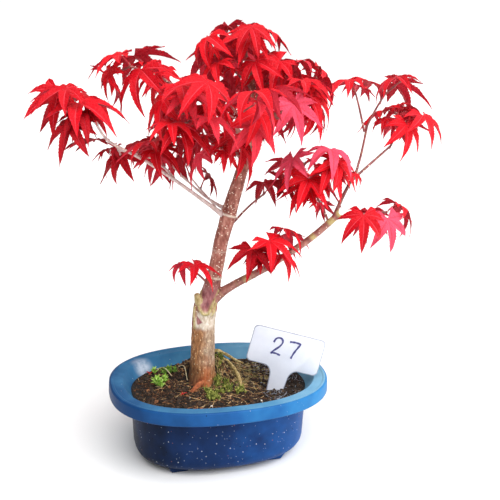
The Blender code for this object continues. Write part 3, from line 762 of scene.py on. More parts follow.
def maple_bark():
    """Old cork on the stump, healed callus at the union, smooth young bark above."""
    finish, tree, shader = new_finish("maple_bark", "#8A5A44", 0.75, ior=1.4)
    upright = place_in_mm(tree, (1, 1, 0.45))
    scales = grain(tree, upright, 1.9, detail=5, roughness=0.65)
    skin = grain(tree, upright, 3.5, detail=4)
    brown = ramp(tree, scales, (0.28, "#6B4226"), (0.43, "#9A6640"), (0.58, "#BC8456"), (0.75, "#E2B47E"))
    # A paler, greyish copy of the cork: painted light on the trunk's right side
    painted_light_grey = ramp(tree, scales, (0.3, "#8A6E58"), (0.48, "#B4967C"), (0.62, "#CDB49C"), (0.75, "#E6D6C2"))
    corky = blend_colours(tree, mesh_value(tree, "painted_light_grey"), brown, painted_light_grey)
    flecks = spots(tree, place_in_mm(tree, (1, 1, 0.7)), 2.0, 0.95, 0.55)
    corky = blend_colours(tree, flecks, corky, linear("#F6DDB0"))
    young = ramp(tree, skin, (0.3, "#6E3A33"), (0.5, "#A06254"), (0.7, "#CC9484"))
    pores = spots(tree, place_in_mm(tree, (1, 1, 1.2)), 2.1, 1.1, 0.7)
    young = blend_colours(tree, pores, young, linear("#FFF0DA"))
    plum = ramp(tree, skin, (0.3, "#744248"), (0.5, "#9C5E60"), (0.72, "#C49490"))
    cream = ramp(tree, scales, (0.28, "#9C7E60"), (0.42, "#CDB89E"), (0.6, "#EBDFD0"), (0.75, "#F8F3EC"))
    healed = ramp(tree, scales, (0.3, "#84743F"), (0.45, "#B9A86E"), (0.7, "#E2D4A6"))
    colour = blend_colours(tree, mesh_value(tree, "cork"), young, corky)
    # dark darkens the cork's cracks, and paints shade low on the trunk's left
    rust, dark = linear("#B4552C"), linear("#33221A")
    tints = {"rust": rust, "plum": plum, "cream": cream, "callus": healed, "dark": dark}
    for mask, tint in tints.items():
        colour = blend_colours(tree, mesh_value(tree, mask), colour, tint)
    paint(tree, shader, colour, scales, 0.35)
    return finish


def young_bark(name, dark, middle, pale):
    """The smooth, waxy skin of last year's wood."""
    finish, tree, shader = new_finish(name, middle, 0.5, coat=0.1)
    skin = grain(tree, place_in_mm(tree, (1, 1, 0.7)), 4, detail=4)
    colour = ramp(tree, skin, (0.3, dark), (0.5, middle), (0.72, pale))
    pores = spots(tree, place_in_mm(tree), 2.6, 1.0, 0.6)
    colour = blend_colours(tree, pores, colour, linear("#FBE8D0"))
    colour = blend_colours(tree, mesh_value(tree, "callus"), colour, linear("#BFAE72"))
    paint(tree, shader, colour, skin, 0.15)
    return finish


BARK = maple_bark()
BOUGH_BARK = young_bark("red_brown_bough_bark", "#7A463C", "#A0655A", "#C08B7A")
PALE_BARK = young_bark("pinkish_bough_bark", "#A98C88", "#CBB2AD", "#E4D4CF")
TWIG_BARK = young_bark("dark_red_twig_bark", "#6A3030", "#8C4745", "#A9695F")
print("barks:", BARK.name, BOUGH_BARK.name, PALE_BARK.name, TWIG_BARK.name)

# %% [markdown]
# The wood
#
# The trunk and its boughs are one living piece, so no joint between them shows as a seam. They could be
# sculpted, or skinned by the Skin modifier. Here each limb is a tube round its line, a voxel remesh welds
# the tubes, and a little smoothing turns the welds into the collars that real boughs have.

# %% The wood's plain skin
WOOD_VOXEL = 0.53 * MM
WOOD_SMOOTHING = 3
WOOD_SIDES = 24
COLLAR_REACH = 5 * MM
COLLAR_SWELL = 0.4
FLARE = 3.2 * MM
FLARE_HEIGHT = 9 * MM
FLARE_ROOTS = 5
FLARE_DIP = 0.45
FLARE_TURN = 0.6


def fine_line(name):
    """A limb's line at steps of about a millimetre, swollen where it leaves its parent."""
    length = line_length(limb_line(name, LINE_STEPS))
    line = limb_line(name, max(6, round(length / MM)))
    if name == "trunk" or LIMBS[name][1] >= 1:
        return line
    parent_radius = limb_at(*LIMBS[name][:2])[1]
    root = line[0][0]
    swollen = []
    for point, radius in line:
        clear = max(0.0, (point - root).length - parent_radius)
        swollen.append((point, radius * (1 + COLLAR_SWELL * math.exp(-clear / COLLAR_REACH))))
    return swollen


def wood_tube(name):
    line = fine_line(name)

    def flare(level, turn):
        fade = math.exp((line[0][0].z - line[level][0].z) / FLARE_HEIGHT)
        return FLARE * fade * (1 - FLARE_DIP + FLARE_DIP * math.cos(FLARE_ROOTS * turn + FLARE_TURN))

    return tube(line, WOOD_SIDES, flare if name == "trunk" else None)


def weld(obj, voxel, smoothing):
    """Makes one even skin of everything in an object."""
    remesh = obj.modifiers.new("weld", "REMESH")
    remesh.mode = "VOXEL"
    remesh.voxel_size = voxel
    smooth = obj.modifiers.new("smooth", "SMOOTH")
    smooth.factor = 0.5
    smooth.iterations = smoothing
    apply_modifiers(obj)


LIMB_NAMES = ["trunk", *LIMBS]
wood = make_object("wood", *gather([wood_tube(name) for name in LIMB_NAMES]), [])
weld(wood, WOOD_VOXEL, WOOD_SMOOTHING)
print("wood:", len(wood.data.polygons), "faces before its relief")

# %% [markdown]
# Where each point of the wood lies
#
# Relief on a tree follows its limbs: cracks run along them, and bud scars ring them. So each point of the
# skin is told which limb it is on, how far along that, and which way round it faces. Painting masks by hand
# would do the same for one tree, but this works for any lines.

# %% Places along the limbs
BATCH = 4000


def wood_samples():
    """Points all along the limbs: place, way ahead, radius, limb number and distance along the limb."""
    rows = []
    for number, name in enumerate(LIMB_NAMES):
        line = fine_line(name)
        run = 0.0
        for (here, radius), (there, _) in zip(line, line[1:]):
            rows.append((*here, *(there - here).normalized(), radius, number, run))
            run += (there - here).length
    return np.array(rows)


def read_points(mesh, kind="co"):
    values = np.zeros(3 * len(mesh.vertices))
    mesh.vertices.foreach_get(kind, values)
    return values.reshape(-1, 3)


def nearest_samples(points, samples):
    """For each point, the sample whose limb's surface is nearest."""
    nearest = []
    for start in range(0, len(points), BATCH):
        some = points[start : start + BATCH, None, :]
        away = np.sqrt(((some - samples[None, :, 0:3]) ** 2).sum(axis=2)) - samples[None, :, 6]
        nearest.append(away.argmin(axis=1))
    return samples[np.concatenate(nearest)]


skin_points = read_points(wood.data)
near = nearest_samples(skin_points, wood_samples())
arm = skin_points - near[:, 0:3]
limb_number = near[:, 7].astype(int)
along_limb = near[:, 8] + (arm * near[:, 3:6]).sum(axis=1)
facing = np.degrees(np.arctan2(arm[:, 1], arm[:, 0]))
height_mm = skin_points[:, 2] / MM
on_trunk = limb_number == 0
print("points on the trunk:", int(on_trunk.sum()), "on boughs:", int((~on_trunk).sum()))

# %% [markdown]
# The bark's relief
#
# The stump is finely scaly. Where the top was grafted on, two lips of callus healed into a V on the front,
# below the stub of the old stock. Higher up, the young bark has only shallow lumps and the rings that
# old buds leave. A bump in the material would vanish at the outline, so each is a height in millimetres that
# is added along the skin's normals. What makes a height also makes the mask that colours it.

# %% Helpers for the relief


def soft_step(values, low, high):
    t = np.clip((values - low) / (high - low), 0, 1)
    return t * t * (3 - 2 * t)


def rough(points, size_mm, stretch=1.0, octaves=1):
    """Noise of about -1 to 1 at each point, in blobs of size_mm that are stretched upwards."""
    scaled = points / (size_mm * MM)
    scaled[:, 2] /= stretch
    if octaves == 1:
        return np.array([noise.noise(Vector(p)) for p in scaled])
    return np.array([noise.fractal(Vector(p), 1.0, 2.0, octaves) for p in scaled])


def ridge(across, height, path, width_mm):
    """A rounded ridge along a path of (degrees, height in mm) round the trunk: 1 on it, 0 away from it."""
    strongest = np.zeros(len(across))
    for (turn_a, low), (turn_b, high) in zip(path, path[1:]):
        a = np.array([math.radians(turn_a) * UNION_RADIUS, low])
        b = np.array([math.radians(turn_b) * UNION_RADIUS, high])
        spot = np.stack([across, height], axis=1)
        share = np.clip(((spot - a) @ (b - a)) / ((b - a) @ (b - a)), 0, 1)
        away = np.linalg.norm(spot - a - share[:, None] * (b - a), axis=1)
        strongest = np.maximum(strongest, np.exp(-((away / width_mm) ** 2)))
    return strongest


# %% The bark's relief
UNION_RADIUS = 9.0
CALLUS_WIDTH = 1.2
CALLUS_HEIGHT = 1.1
V_LEFT_ARM = ((-178, 137), (-152, 129), (-126, 122.5), (-110, 119.8))
V_RIGHT_ARM = ((-92, 119.6), (-80, 123.5), (-70, 130), (-52, 138))
CALLUS_RIDGES = (
    V_LEFT_ARM + V_RIGHT_ARM,
    ((-44, 133), (-58, 125), (-68, 119)),
    ((-164, 124), (-154, 114), (-149, 107)),
)
RING_SCARS = ((149.5, 1.0), (171.6, 0.4), (200.6, 1.0))
RING_SPACING = 15 * MM
RING_WIDTH = 0.8
RING_HEIGHT = 0.4
BUD_RING_HEIGHT = 0.06
CRACK_DEPTH = 0.22
CRACK_WIDTH = 0.2
SCALE_HEIGHT = 0.28
PLATE_HEIGHT = 0.35
YOUNG_LUMPS = 0.35
YOUNG_SCALES = 0.08
CORK_TOP = (103, 111)
WARP = 1.2 * MM

turned = np.where(facing > 60, facing - 360, facing)
round_mm = np.radians(turned) * UNION_RADIUS
wavering = rough(skin_points, 6)
cork = on_trunk * (1 - soft_step(height_mm + 3 * wavering, *CORK_TOP))
sideways = [rough(skin_points, 5), rough(skin_points + 1, 5), np.zeros(len(skin_points))]
warped = skin_points + WARP * np.stack(sideways, axis=1)
cracks = 1 - soft_step(np.abs(rough(warped, 3.6, stretch=4.5)), 0.0, CRACK_WIDTH)
scales = rough(warped, 2.6, stretch=1.8, octaves=3)
plates = rough(skin_points, 7, stretch=2.2)
callus = np.zeros(len(skin_points))
for path in CALLUS_RIDGES:
    callus = np.maximum(callus, ridge(round_mm, height_mm, path, CALLUS_WIDTH))
callus *= on_trunk
rings = np.zeros(len(skin_points))
for scar, strength in RING_SCARS:
    up_trunk = near[:, 2] / MM + (along_limb - near[:, 8]) / MM
    rings = np.maximum(rings, strength * np.exp(-(((up_trunk - scar) / RING_WIDTH) ** 2)))
rings *= on_trunk
since_ring = np.mod(along_limb + 0.4 * RING_SPACING, RING_SPACING) / MM
bud_rings = np.exp(-(((since_ring - 6) / RING_WIDTH) ** 2)) * ~on_trunk
lumps = rough(skin_points, 8, stretch=1.6)
relief = cork * (PLATE_HEIGHT * plates + SCALE_HEIGHT * scales - CRACK_DEPTH * cracks)
stoutness = np.clip(near[:, 6] / (5 * MM), 0.2, 1.2)
relief += (1 - cork) * (YOUNG_LUMPS * lumps * stoutness + YOUNG_SCALES * scales)
relief += CALLUS_HEIGHT * callus * (1 + 0.3 * scales) + RING_HEIGHT * rings
relief += BUD_RING_HEIGHT * bud_rings * near[:, 6] / MM
print("relief from", round(float(relief.min()), 2), "to", round(float(relief.max()), 2), "mm")

# %% [markdown]
# The wood, finished
#
# The heights move the skin, and the masks go on the mesh as plain numbers that the bark's material reads.
# Each limb's faces take the bark of its age: old wood, a year or two old, or this year's thin dark shoots.

# %% The wood, finished
NODE_PATCHES = (((92.5, -17, 202), 5), ((86, -16, 196), 5), ((22, -1.5, 148.5), 5), ((72, -13.5, 184), 4))
THIN_DARK = ("bough_right_rise", "bough_right_top", "bough_right_far", "bough_right_low")
THIN_PALE = ("bough_left", "bough_left_outer", "bough_left_end", "bough_left_inner")
OLD_WOOD = ("trunk", "stub_left")

# Where the trunk's marks fade in or out, as heights in mm above the ground
PAINTED_LIGHT_RISE = (64, 84)
FOOT_FADE = (57, 68)
RUST_FADE = (62, 98)
SHADE_FADE = (58, 88)
V_FOOT = 122.5
V_RISE = (121, 123.5)
V_FADE = (136, 150)
CREAM_RISE = (103.5, 108)
CREAM_FADE = (119, 123)


def bark_of(name):
    if name in OLD_WOOD:
        return BARK
    if name in THIN_DARK:
        return TWIG_BARK
    return PALE_BARK if name in THIN_PALE else BOUGH_BARK


def store(mesh, name, values):
    """Stores one number for each point of a mesh."""
    layer = mesh.attributes.new(name, "FLOAT", "POINT")
    layer.data.foreach_set("value", np.asarray(values, np.float32))


def trunk_marks():
    """Where the trunk is rusty, plum or cream, and where painted light makes its right side paler and
    painted shade darkens it low on the left, at heights in mm and turns in degrees.

    A turn of -90 faces the front. The plum skin shows inside the V of callus and in a patch at its left.
    """
    to_right = np.cos(np.radians(facing + 16)) + 0.3 * wavering
    # Painted light: the trunk's right side is drawn in the paler, greyish cork above this height
    painted_light_grey = soft_step(to_right, -0.4, 0.6) * soft_step(height_mm, *PAINTED_LIGHT_RISE)
    low = 1 - soft_step(height_mm, *FOOT_FADE)
    rust = np.exp(-(((turned + 84 + 26 * low) / (26 + 14 * low)) ** 2))
    rust *= 1 - soft_step(height_mm + 6 * wavering - 0.12 * turned, *RUST_FADE)
    shade = 0.6 * soft_step(-to_right, -0.2, 0.6) * (1 - soft_step(height_mm, *SHADE_FADE))
    up_v = height_mm - V_FOOT
    in_v = soft_step(turned, -126 - 3.6 * up_v, -118 - 3.6 * up_v)
    in_v *= 1 - soft_step(turned, -88 + 1.9 * up_v, -80 + 1.9 * up_v)
    in_v *= soft_step(height_mm, *V_RISE) * (1 - soft_step(height_mm + 3 * wavering, *V_FADE))
    patch = soft_step(turned + 145 - 1.14 * (118 - height_mm), -2, 4)
    patch *= 1 - soft_step(height_mm - 118.5 + 0.16 * (turned + 145), -1, 1)
    patch *= soft_step(height_mm - 109.6 - 0.086 * (turned + 135), -1, 1)
    cream = soft_step(height_mm + 3 * wavering, *CREAM_RISE) * (1 - soft_step(height_mm, *CREAM_FADE))
    cream *= soft_step(turned + 8 * wavering, -150, -142) * (1 - soft_step(turned, -10, 20))
    plum = np.maximum(in_v, patch)
    cream = np.maximum(cream * (1 - patch), rings)
    return {"painted_light_grey": painted_light_grey, "rust": 0.85 * rust, "shade": shade, "plum": plum, "cream": cream}


def finish_wood():
    mesh = wood.data
    moved = skin_points + read_points(mesh, "normal") * (relief * MM)[:, None]
    mesh.vertices.foreach_set("co", moved.ravel())
    barks = [BARK, BOUGH_BARK, PALE_BARK, TWIG_BARK]
    for bark in barks:
        mesh.materials.append(bark)
    firsts = [polygon.vertices[0] for polygon in mesh.polygons]
    numbers = np.array([barks.index(bark_of(name)) for name in LIMB_NAMES], np.int32)
    mesh.polygons.foreach_set("material_index", numbers[limb_number[firsts]])
    marks = {name: values * on_trunk for name, values in trunk_marks().items()}
    on_stub = limb_number == LIMB_NAMES.index("stub_left")
    healed = [callus**0.7, 0.8 * on_stub, 0.2 * bud_rings]
    for spot, reach in NODE_PATCHES:
        away = np.linalg.norm(skin_points - np.array(mm(*spot)), axis=1) / MM
        healed.append((1 - soft_step(away + 1.5 * wavering, 0.5 * reach, reach)) * ~on_trunk)
    store(mesh, "cork", cork)
    store(mesh, "callus", np.clip(np.maximum.reduce(healed), 0, 1))
    # The dark mask: darker in the cork's cracks, plus the painted shade low on the trunk's left
    store(mesh, "dark", np.clip(cork * cracks * 0.3 + marks.pop("shade"), 0, 1))
    for name, values in marks.items():
        store(mesh, name, values)
    shade_round(wood)
    settle(wood, "bark", *LIMB_NAMES)


finish_wood()

# %% [markdown]
# How the crown grows
#
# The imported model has 32 masses of leaves. Each grows from one stem by a rule whose dice are loaded with a
# seed: opposite buds along the stem, some of which put out a twig, and at each bud a stalk that ends in a
# leaf. Geometry Nodes can scatter leaves faster, but the rule keeps a leaf clear of all that grew before it.
# The same rule with the same seeds is written out again here, so every leaf lands where its plain one is.

# %% The masses of leaves
Mass = namedtuple("Mass", "limb share tip leaves lobe seed tone")

# Each mass: its limb, how far along that it starts, its stem's tip in mm, how many leaves it asks for, the
# length of their lobes in mm, its seed, and the tone of its leaves
MASS_VALUES = {
    "leaves_left_tip": ("bough_left_end", 1.0, (-112, -15, 287), 5, 35, 48, "deep"),
    "leaves_left_hanging": ("bough_left_end", 0.94, (-96, -27, 279), 4, 33, 136, "deep"),
    "leaves_left_under": ("bough_left", 0.97, (-52, 0, 246), 5, 31, 17, "deep"),
    "leaves_left_shade": ("bough_left_outer", 0.97, (-76, 5, 249), 5, 30, 247, "shade"),
    "leaves_left_inner": ("bough_left_inner", 1.0, (-38, 21, 241), 4, 30, 22, "shade"),
    "leaves_left_trunk": ("trunk", 0.575, (-12, 22, 218), 2, 27, 403, "shade"),
    "leaves_right_trunk": ("trunk", 0.565, (38, 9, 215), 2, 28, 351, "shade"),
    "leaves_low_left": ("trunk", 0.39, (-24, 3, 158), 2, 25, 261, "bright"),
    "leaves_low_right": ("bough_right", 0.97, (38, -20, 178), 6, 31, 555, "deep"),
    "leaves_right_inner": ("bough_right_outer", 0.84, (64, -6, 235), 5, 34, 278, "rosy"),
    "leaves_right_cluster": ("bough_right_rise", 0.93, (78, -28, 238), 5, 34, 875, "sun"),
    "leaves_right_low": ("bough_right_low", 1.0, (131, -23, 203), 4, 34, 810, "dusky"),
    "leaves_right_low_near": ("bough_right_low", 0.9, (107, -28, 199), 2, 34, 868, "dusky"),
    "leaves_right_top": ("bough_right_top", 1.0, (131, -6, 295), 3, 33, 28, "sun"),
    "leaves_right_top_single": ("bough_right_top", 0.93, (106, -2, 298), 2, 30, 471, "sun"),
    "leaves_right_far": ("bough_right_far", 1.0, (146, -11, 272), 5, 34, 706, "sun"),
    "leaves_crown_tip": ("trunk", 1.0, (17, 5, 333), 5, 33, 706, "sun"),
    "leaves_crown_tip_left": ("trunk", 0.95, (-12, -2, 325), 5, 33, 180, "sun"),
    "leaves_crown_tip_right": ("trunk", 0.93, (46, 0, 308), 5, 33, 175, "sun"),
    "leaves_upper_left": ("bough_crown_left_end", 1.0, (-70, -12, 313), 5, 34, 408, "sun"),
    "leaves_upper_left_low": ("bough_crown_left_end", 0.94, (-42, -26, 292), 5, 32, 201, "sun"),
    "leaves_crown_left": ("bough_crown_left", 0.95, (-30, -38, 280), 6, 31, 7, "sun"),
    "leaves_crown_front": ("bough_front", 1.0, (-2, -54, 283), 6, 32, 182, "sun"),
    "leaves_crown_middle": ("bough_front", 0.92, (32, -50, 282), 5, 32, 57, "bright"),
    "leaves_crown_low": ("trunk", 0.745, (-8, -32, 257), 5, 30, 445, "deep"),
    "leaves_crown_right": ("bough_crown_right", 1.0, (70, -10, 299), 4, 34, 398, "rosy"),
    "leaves_crown_right_low": ("bough_crown_right", 0.93, (58, -32, 288), 4, 31, 141, "sun"),
    "leaves_back_left": ("bough_back_left", 1.0, (-26, 58, 283), 6, 32, 217, "sun"),
    "leaves_back_left_low": ("bough_back_left", 0.95, (-22, 44, 262), 5, 31, 426, "deep"),
    "leaves_back_right": ("bough_back_right", 1.0, (76, 56, 282), 6, 32, 298, "sun"),
    "leaves_back_middle": ("bough_back_right", 0.95, (38, 66, 276), 6, 31, 533, "deep"),
    "leaves_back_top": ("trunk", 0.88, (30, 40, 308), 6, 32, 83, "sun"),
}
MASSES = {name: Mass(*values) for name, values in MASS_VALUES.items()}
print("masses:", len(MASSES), "with at most", sum(mass.leaves for mass in MASSES.values()), "leaves")

# %% [markdown]
# The plain leaf of the rule
#
# To tell whether a leaf would touch something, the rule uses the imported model's plain leaf of a few faces:
# five lobes that arch down and are folded along their midribs. It is only tested here, and never shown.

# %% The plain leaf of the rule
LOBE_ANGLES = (-92, -46, 0, 46, 92)
LOBE_LENGTHS = (0.6, 0.9, 1.0, 0.9, 0.6)
LOBE_WIDTH = 0.137
SHORT_LOBE = 0.95
SINUS_REACH = 0.4
SHOULDER_REACH = 0.32
SHOULDER_SHARE = 0.2
KEEL = 0.045
BASE_REACH = 0.09
LEAF_THICKNESS = 0.022
NARROW_LOBE = 0.7
CENTRE_RISE = 0.4 * MM


def plain_leaf(length, bend, fat=0.0):
    """A maple leaf of a few faces. It points along +X with its face up, and fat swells it."""
    half_thick = LEAF_THICKNESS * length / 2 + fat
    curve = math.radians(bend)

    def arch(reach, turn, side):
        """The point at that reach along a lobe, and to one side of its midrib."""
        out = length * math.sin(curve * reach) / curve
        fall = length * (1 - math.cos(curve * reach)) / curve
        point = Vector((out, side, -fall))
        point.rotate(Matrix.Rotation(turn, 3, "Z"))
        return point

    outline, ribs = [Vector((-BASE_REACH * length - fat, 0, 0))], []
    for number, (degrees, share) in enumerate(zip(LOBE_ANGLES, LOBE_LENGTHS)):
        turn = math.radians(degrees)
        half = LOBE_WIDTH * length * (NARROW_LOBE + (1 - NARROW_LOBE) * share) + fat
        if number:
            between_lobes = math.radians((degrees + LOBE_ANGLES[number - 1]) / 2)
            outline.append(arch(SINUS_REACH + fat / length, between_lobes, 0))
        widest = SHOULDER_REACH + SHOULDER_SHARE * share
        shoulders = [arch(widest, turn, side) + Vector((0, 0, KEEL * length)) for side in (-half, half)]
        outline += [shoulders[0], arch(share + 2 * fat / length, turn, 0), shoulders[1]]
        ribs.append(arch(widest, turn, 0) if share > SHORT_LOBE else None)
    middle, rise = Vector((0, 0, half_thick + CENTRE_RISE)), Vector((0, 0, half_thick))
    verts, faces, rim = list(outline), [], len(outline)
    for up in (1, -1):
        centre = len(verts)
        verts.append(middle * up)
        fan = [(centre, 0, 1), (centre, rim - 1, 0)]
        for lobe, rib_point in enumerate(ribs):
            first = 1 + 4 * lobe
            rib = centre
            if rib_point:
                rib = len(verts)
                verts.append(rib_point + rise * up)
                fan += [(centre, first, rib), (centre, rib, first + 2)]
            fan += [(rib, first, first + 1), (rib, first + 1, first + 2)]
            if lobe < len(ribs) - 1:
                fan += [(centre, first + 2, first + 3), (centre, first + 3, first + 4)]
        faces += fan if up > 0 else [tuple(reversed(face)) for face in fan]
    return verts, faces


print("plain leaf:", len(plain_leaf(33 * MM, 50)[1]), "faces")

# %% [markdown]
# Stems, twigs and stalks of the rule
#
# A stem leaves its limb at a slant and bows upwards. Buds sit on it in opposite pairs, each pair turned from
# the last, as they do on every maple. Curves could draw stems, but the rule tests each one as it grows, so
# they are short lists of points with radii.

# %% Stems, twigs and stalks of the rule
STALK_RADIUS = 0.7 * MM
STALK_SEAT = 0.4
STEM_RADIUS = 1.15 * MM
STEM_TAPER = 0.75
STEM_RISE = 0.04
STEM_CLEAR = 1.15 * GAP
TWIG_SHARE = 0.3
TWIG_RADII = (0.8 * STEM_RADIUS, 0.65 * STEM_RADIUS)
BUD_DEPTH = 0.07
PAIR_TURN = 30
TRIES = 12
TWIG_REACH = (0.3, 0.6)
TWIG_LEAN = (25, 60)
STALK_REACH = (0.3, 0.75)
STALK_LEAN = (10, 75)
LIFT = (-0.2, 0.6)
LEAF_SIZE = (0.82, 1.15)
LEAF_SWING = (-65, 65)
LEAF_PITCH = (0, 62)
LEAF_ROLL = (-32, 32)
LEAF_BEND = (30, 85)


def curved(start, end, rise, radii, steps):
    """A thin line that bows upwards between two points."""
    line = []
    thick, thin = radii
    for step in range(steps + 1):
        t = step / steps
        point = start.lerp(end, t) + Vector((0, 0, rise * 4 * t * (1 - t)))
        line.append((point, thick + (thin - thick) * t))
    return line


def stem_of(name):
    """The stem that carries a mass, from 0.3 mm off its limb to its tip."""
    mass = MASSES[name]
    centre, radius, ahead = limb_at(mass.limb, mass.share)
    end = mm(*mass.tip)
    way = (end - centre).normalized()
    if mass.share >= 1:
        start = centre + ahead * GAP
    else:
        out = (way - ahead * way.dot(ahead)).normalized()
        slant = math.sqrt(max(0.0, 1 - way.dot(out) ** 2))
        start = centre + out * (radius + STEM_CLEAR + STEM_RADIUS * slant)
    return curved(start, end, STEM_RISE * (end - start).length, (STEM_RADIUS, STEM_TAPER * STEM_RADIUS), 3)


def leaf_frame(heading, pitch, roll):
    """A leaf's axes: +X along the heading, tipped down by pitch and rolled about its length."""
    turn = math.atan2(heading.y, heading.x)
    return Matrix.Rotation(turn, 3, "Z") @ Matrix.Rotation(pitch, 3, "Y") @ Matrix.Rotation(roll, 3, "X")


def draw_angle(rng, degrees):
    return math.radians(rng.uniform(*degrees))


def draw_way(rng, along, side, lean_range):
    """A way out from a bud: sideways, leaning along the twig by an angle in the range."""
    lean = draw_angle(rng, lean_range)
    way = side * math.cos(lean) + along * math.sin(lean)
    way.z += rng.uniform(*LIFT)
    return way.normalized()


def draw_leaf(rng, bud, length):
    """One leaf at a bud: a stalk that reaches out, and a blade that hangs from the stalk's end."""
    node, along, side = bud
    way = draw_way(rng, along, side, STALK_LEAN)
    reach = length * rng.uniform(*STALK_REACH)
    size = length * rng.uniform(*LEAF_SIZE)
    heading = Matrix.Rotation(draw_angle(rng, LEAF_SWING), 3, "Z") @ way
    axes = leaf_frame(heading, draw_angle(rng, LEAF_PITCH), draw_angle(rng, LEAF_ROLL))
    bend = rng.uniform(*LEAF_BEND)
    return {"node": node, "joint": node + way * reach, "frame": axes, "size": size, "bend": bend}


def leaf_mesh(leaf, fat=0.0):
    verts, faces = plain_leaf(leaf["size"], leaf["bend"], fat)
    return [leaf["frame"] @ v + leaf["joint"] for v in verts], faces


def stalk_mesh(leaf, fat=0.0, start=0.0):
    """The leaf's plain stalk, or what is left of it past a share of its length."""
    end = leaf["joint"] - leaf["frame"] @ Vector((STALK_SEAT * BASE_REACH * leaf["size"], 0, 0))
    root = leaf["node"].lerp(end, start)
    return tube([(root, STALK_RADIUS + fat), (end, 0.7 * STALK_RADIUS + fat)], 3)


def level_beside(along):
    """The level way at right angles to another."""
    return Vector((-along.y, along.x, 0)).normalized()


def buds_on(stem, count):
    """Opposite buds at even steps along a stem, each pair turned from the last, and one at the tip."""
    pairs = max(1, count // 2)
    buds = []
    for pair in range(pairs):
        spot = (pair + 1) / pairs * (len(stem) - 1)
        span = min(len(stem) - 2, int(spot))
        start, end = stem[span][0], stem[span + 1][0]
        along = (end - start).normalized()
        level = level_beside(along)
        twist = math.radians(PAIR_TURN * (pair % 2))
        side = level * math.cos(twist) + along.cross(level) * math.sin(twist)
        node = start.lerp(end, min(1 - BUD_DEPTH, spot - span))
        buds += [(node, along, side), (node, along, -side)]
    return buds + [(stem[-1][0].lerp(stem[-2][0], BUD_DEPTH), along, along)]


def side_twig(rng, bud, length):
    """A short twig from a bud, and the pair of buds at its end."""
    node, along, side = bud
    way = draw_way(rng, along, side, TWIG_LEAN)
    twig = curved(node, node + way * length * rng.uniform(*TWIG_REACH), 0, TWIG_RADII, 1)
    across = way.cross(Vector((0, 0, 1))).normalized()
    end = node.lerp(twig[-1][0], 1 - BUD_DEPTH)
    return twig, [(end, way, across), (end, way, -across)]


print("first stem:", round(line_length(stem_of("leaves_left_tip")) / MM), "mm")

# %% [markdown]
# Growing the masses
#
# A search tree over a skin answers at once whether another skin crosses it. Each mass is grown past the
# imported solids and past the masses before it, and then a few young shoots are added with a seed of their
# own: small new leaves, only where there is room and inside the space of their mass. The sprays at the ends
# of the boughs get none, because the photo shows sky between their leaves.

# %% Growing the masses
YOUNG_TRIES = 60
YOUNG_LEAVES = 7
YOUNG_LENGTH = (11, 25)
YOUNG_SPREAD = 6 * MM
YOUNG_PLACE = (0.2, 0.9)
YOUNG_STALK_FROM = 0.35
YOUNG_SEED = 1000
OTHERS_CLEAR = 1.2 * GAP
OWN_CLEAR = 0.5 * GAP
OWN_STALK_FROM = 0.25
OWN_TWIG_FROM = 0.3
OPEN_SPRAYS = (
    "leaves_right_top",
    "leaves_right_low",
    "leaves_right_trunk",
    "leaves_left_trunk",
    "leaves_low_left",
)


def tree_of(parts):
    """A search tree over several skins, to test what touches them."""
    verts, faces = gather(parts)
    return BVHTree.FromPolygons([tuple(v) for v in verts], faces)


def touches(tree, others):
    return any(tree.overlap(other) for other in others)


def grow(name, obstacles):
    """The twigs and leaves of a mass, by its seed. What would touch anything is drawn again or left out."""
    mass = MASSES[name]
    rng = random.Random(mass.seed)
    length = mass.lobe * MM
    stem = stem_of(name)
    twigs, leaves, own = [stem], [], [tree_of([tube(stem, 3)])]
    buds = [(bud, rng.random() < TWIG_SHARE) for bud in buds_on(stem, mass.leaves)]
    while buds and len(leaves) < mass.leaves:
        bud, puts_out_twig = buds.pop(0)
        if puts_out_twig:
            twig, ends = side_twig(rng, bud, length)
            (root, thick), (tip, thin) = twig
            wide = [(root, thick + GAP), (tip, thin + GAP)]
            free = [(root.lerp(tip, OWN_TWIG_FROM), thick), wide[1]]
            clear = not touches(tree_of([tube(wide, 3)]), obstacles)
            if clear and not touches(tree_of([tube(free, 3)]), own):
                twigs.append(twig)
                own.append(tree_of([tube(twig, 3)]))
                buds = [(end, False) for end in ends] + buds
                continue
        for _ in range(TRIES):
            leaf = draw_leaf(rng, bud, length)
            if touches(tree_of([leaf_mesh(leaf, OTHERS_CLEAR), stalk_mesh(leaf, GAP)]), obstacles):
                continue
            if touches(tree_of([leaf_mesh(leaf, OWN_CLEAR), stalk_mesh(leaf, GAP, OWN_STALK_FROM)]), own):
                continue
            leaves.append(leaf)
            own.append(tree_of([leaf_mesh(leaf), stalk_mesh(leaf, 0, OWN_STALK_FROM)]))
            break
    return twigs, leaves


def mass_parts(twigs, leaves):
    parts = [tube(twig, 3) for twig in twigs]
    for leaf in leaves:
        parts += [stalk_mesh(leaf), leaf_mesh(leaf)]
    return parts


def young_leaves(name, obstacles):
    """Small new leaves from the stem and twigs of a mass, inside its space and clear of everything."""
    rng = random.Random(MASSES[name].seed + YOUNG_SEED)
    low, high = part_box(name)
    found = []
    for _ in range(YOUNG_TRIES):
        twig = rng.choice(crown[name][0])
        (start, _), (end, _) = rng.choice(list(zip(twig, twig[1:])))
        along = (end - start).normalized()
        place = start.lerp(end, rng.uniform(*YOUNG_PLACE))
        bud = (place, along, level_beside(along) * rng.choice((-1, 1)))
        leaf = draw_leaf(rng, bud, rng.uniform(*YOUNG_LENGTH) * MM)
        skin = leaf_mesh(leaf, GAP)
        inside = all(low[i] - YOUNG_SPREAD < v[i] < high[i] + YOUNG_SPREAD for v in skin[0] for i in range(3))
        tree = tree_of([skin, stalk_mesh(leaf, 0.0, YOUNG_STALK_FROM)])
        if inside and not touches(tree, obstacles):
            found.append(leaf)
            obstacles.append(tree)
        if len(found) == YOUNG_LEAVES:
            break
    return found


def search_tree(obj):
    mesh = obj.data
    return BVHTree.FromPolygons([v.co for v in mesh.vertices], [tuple(p.vertices) for p in mesh.polygons])


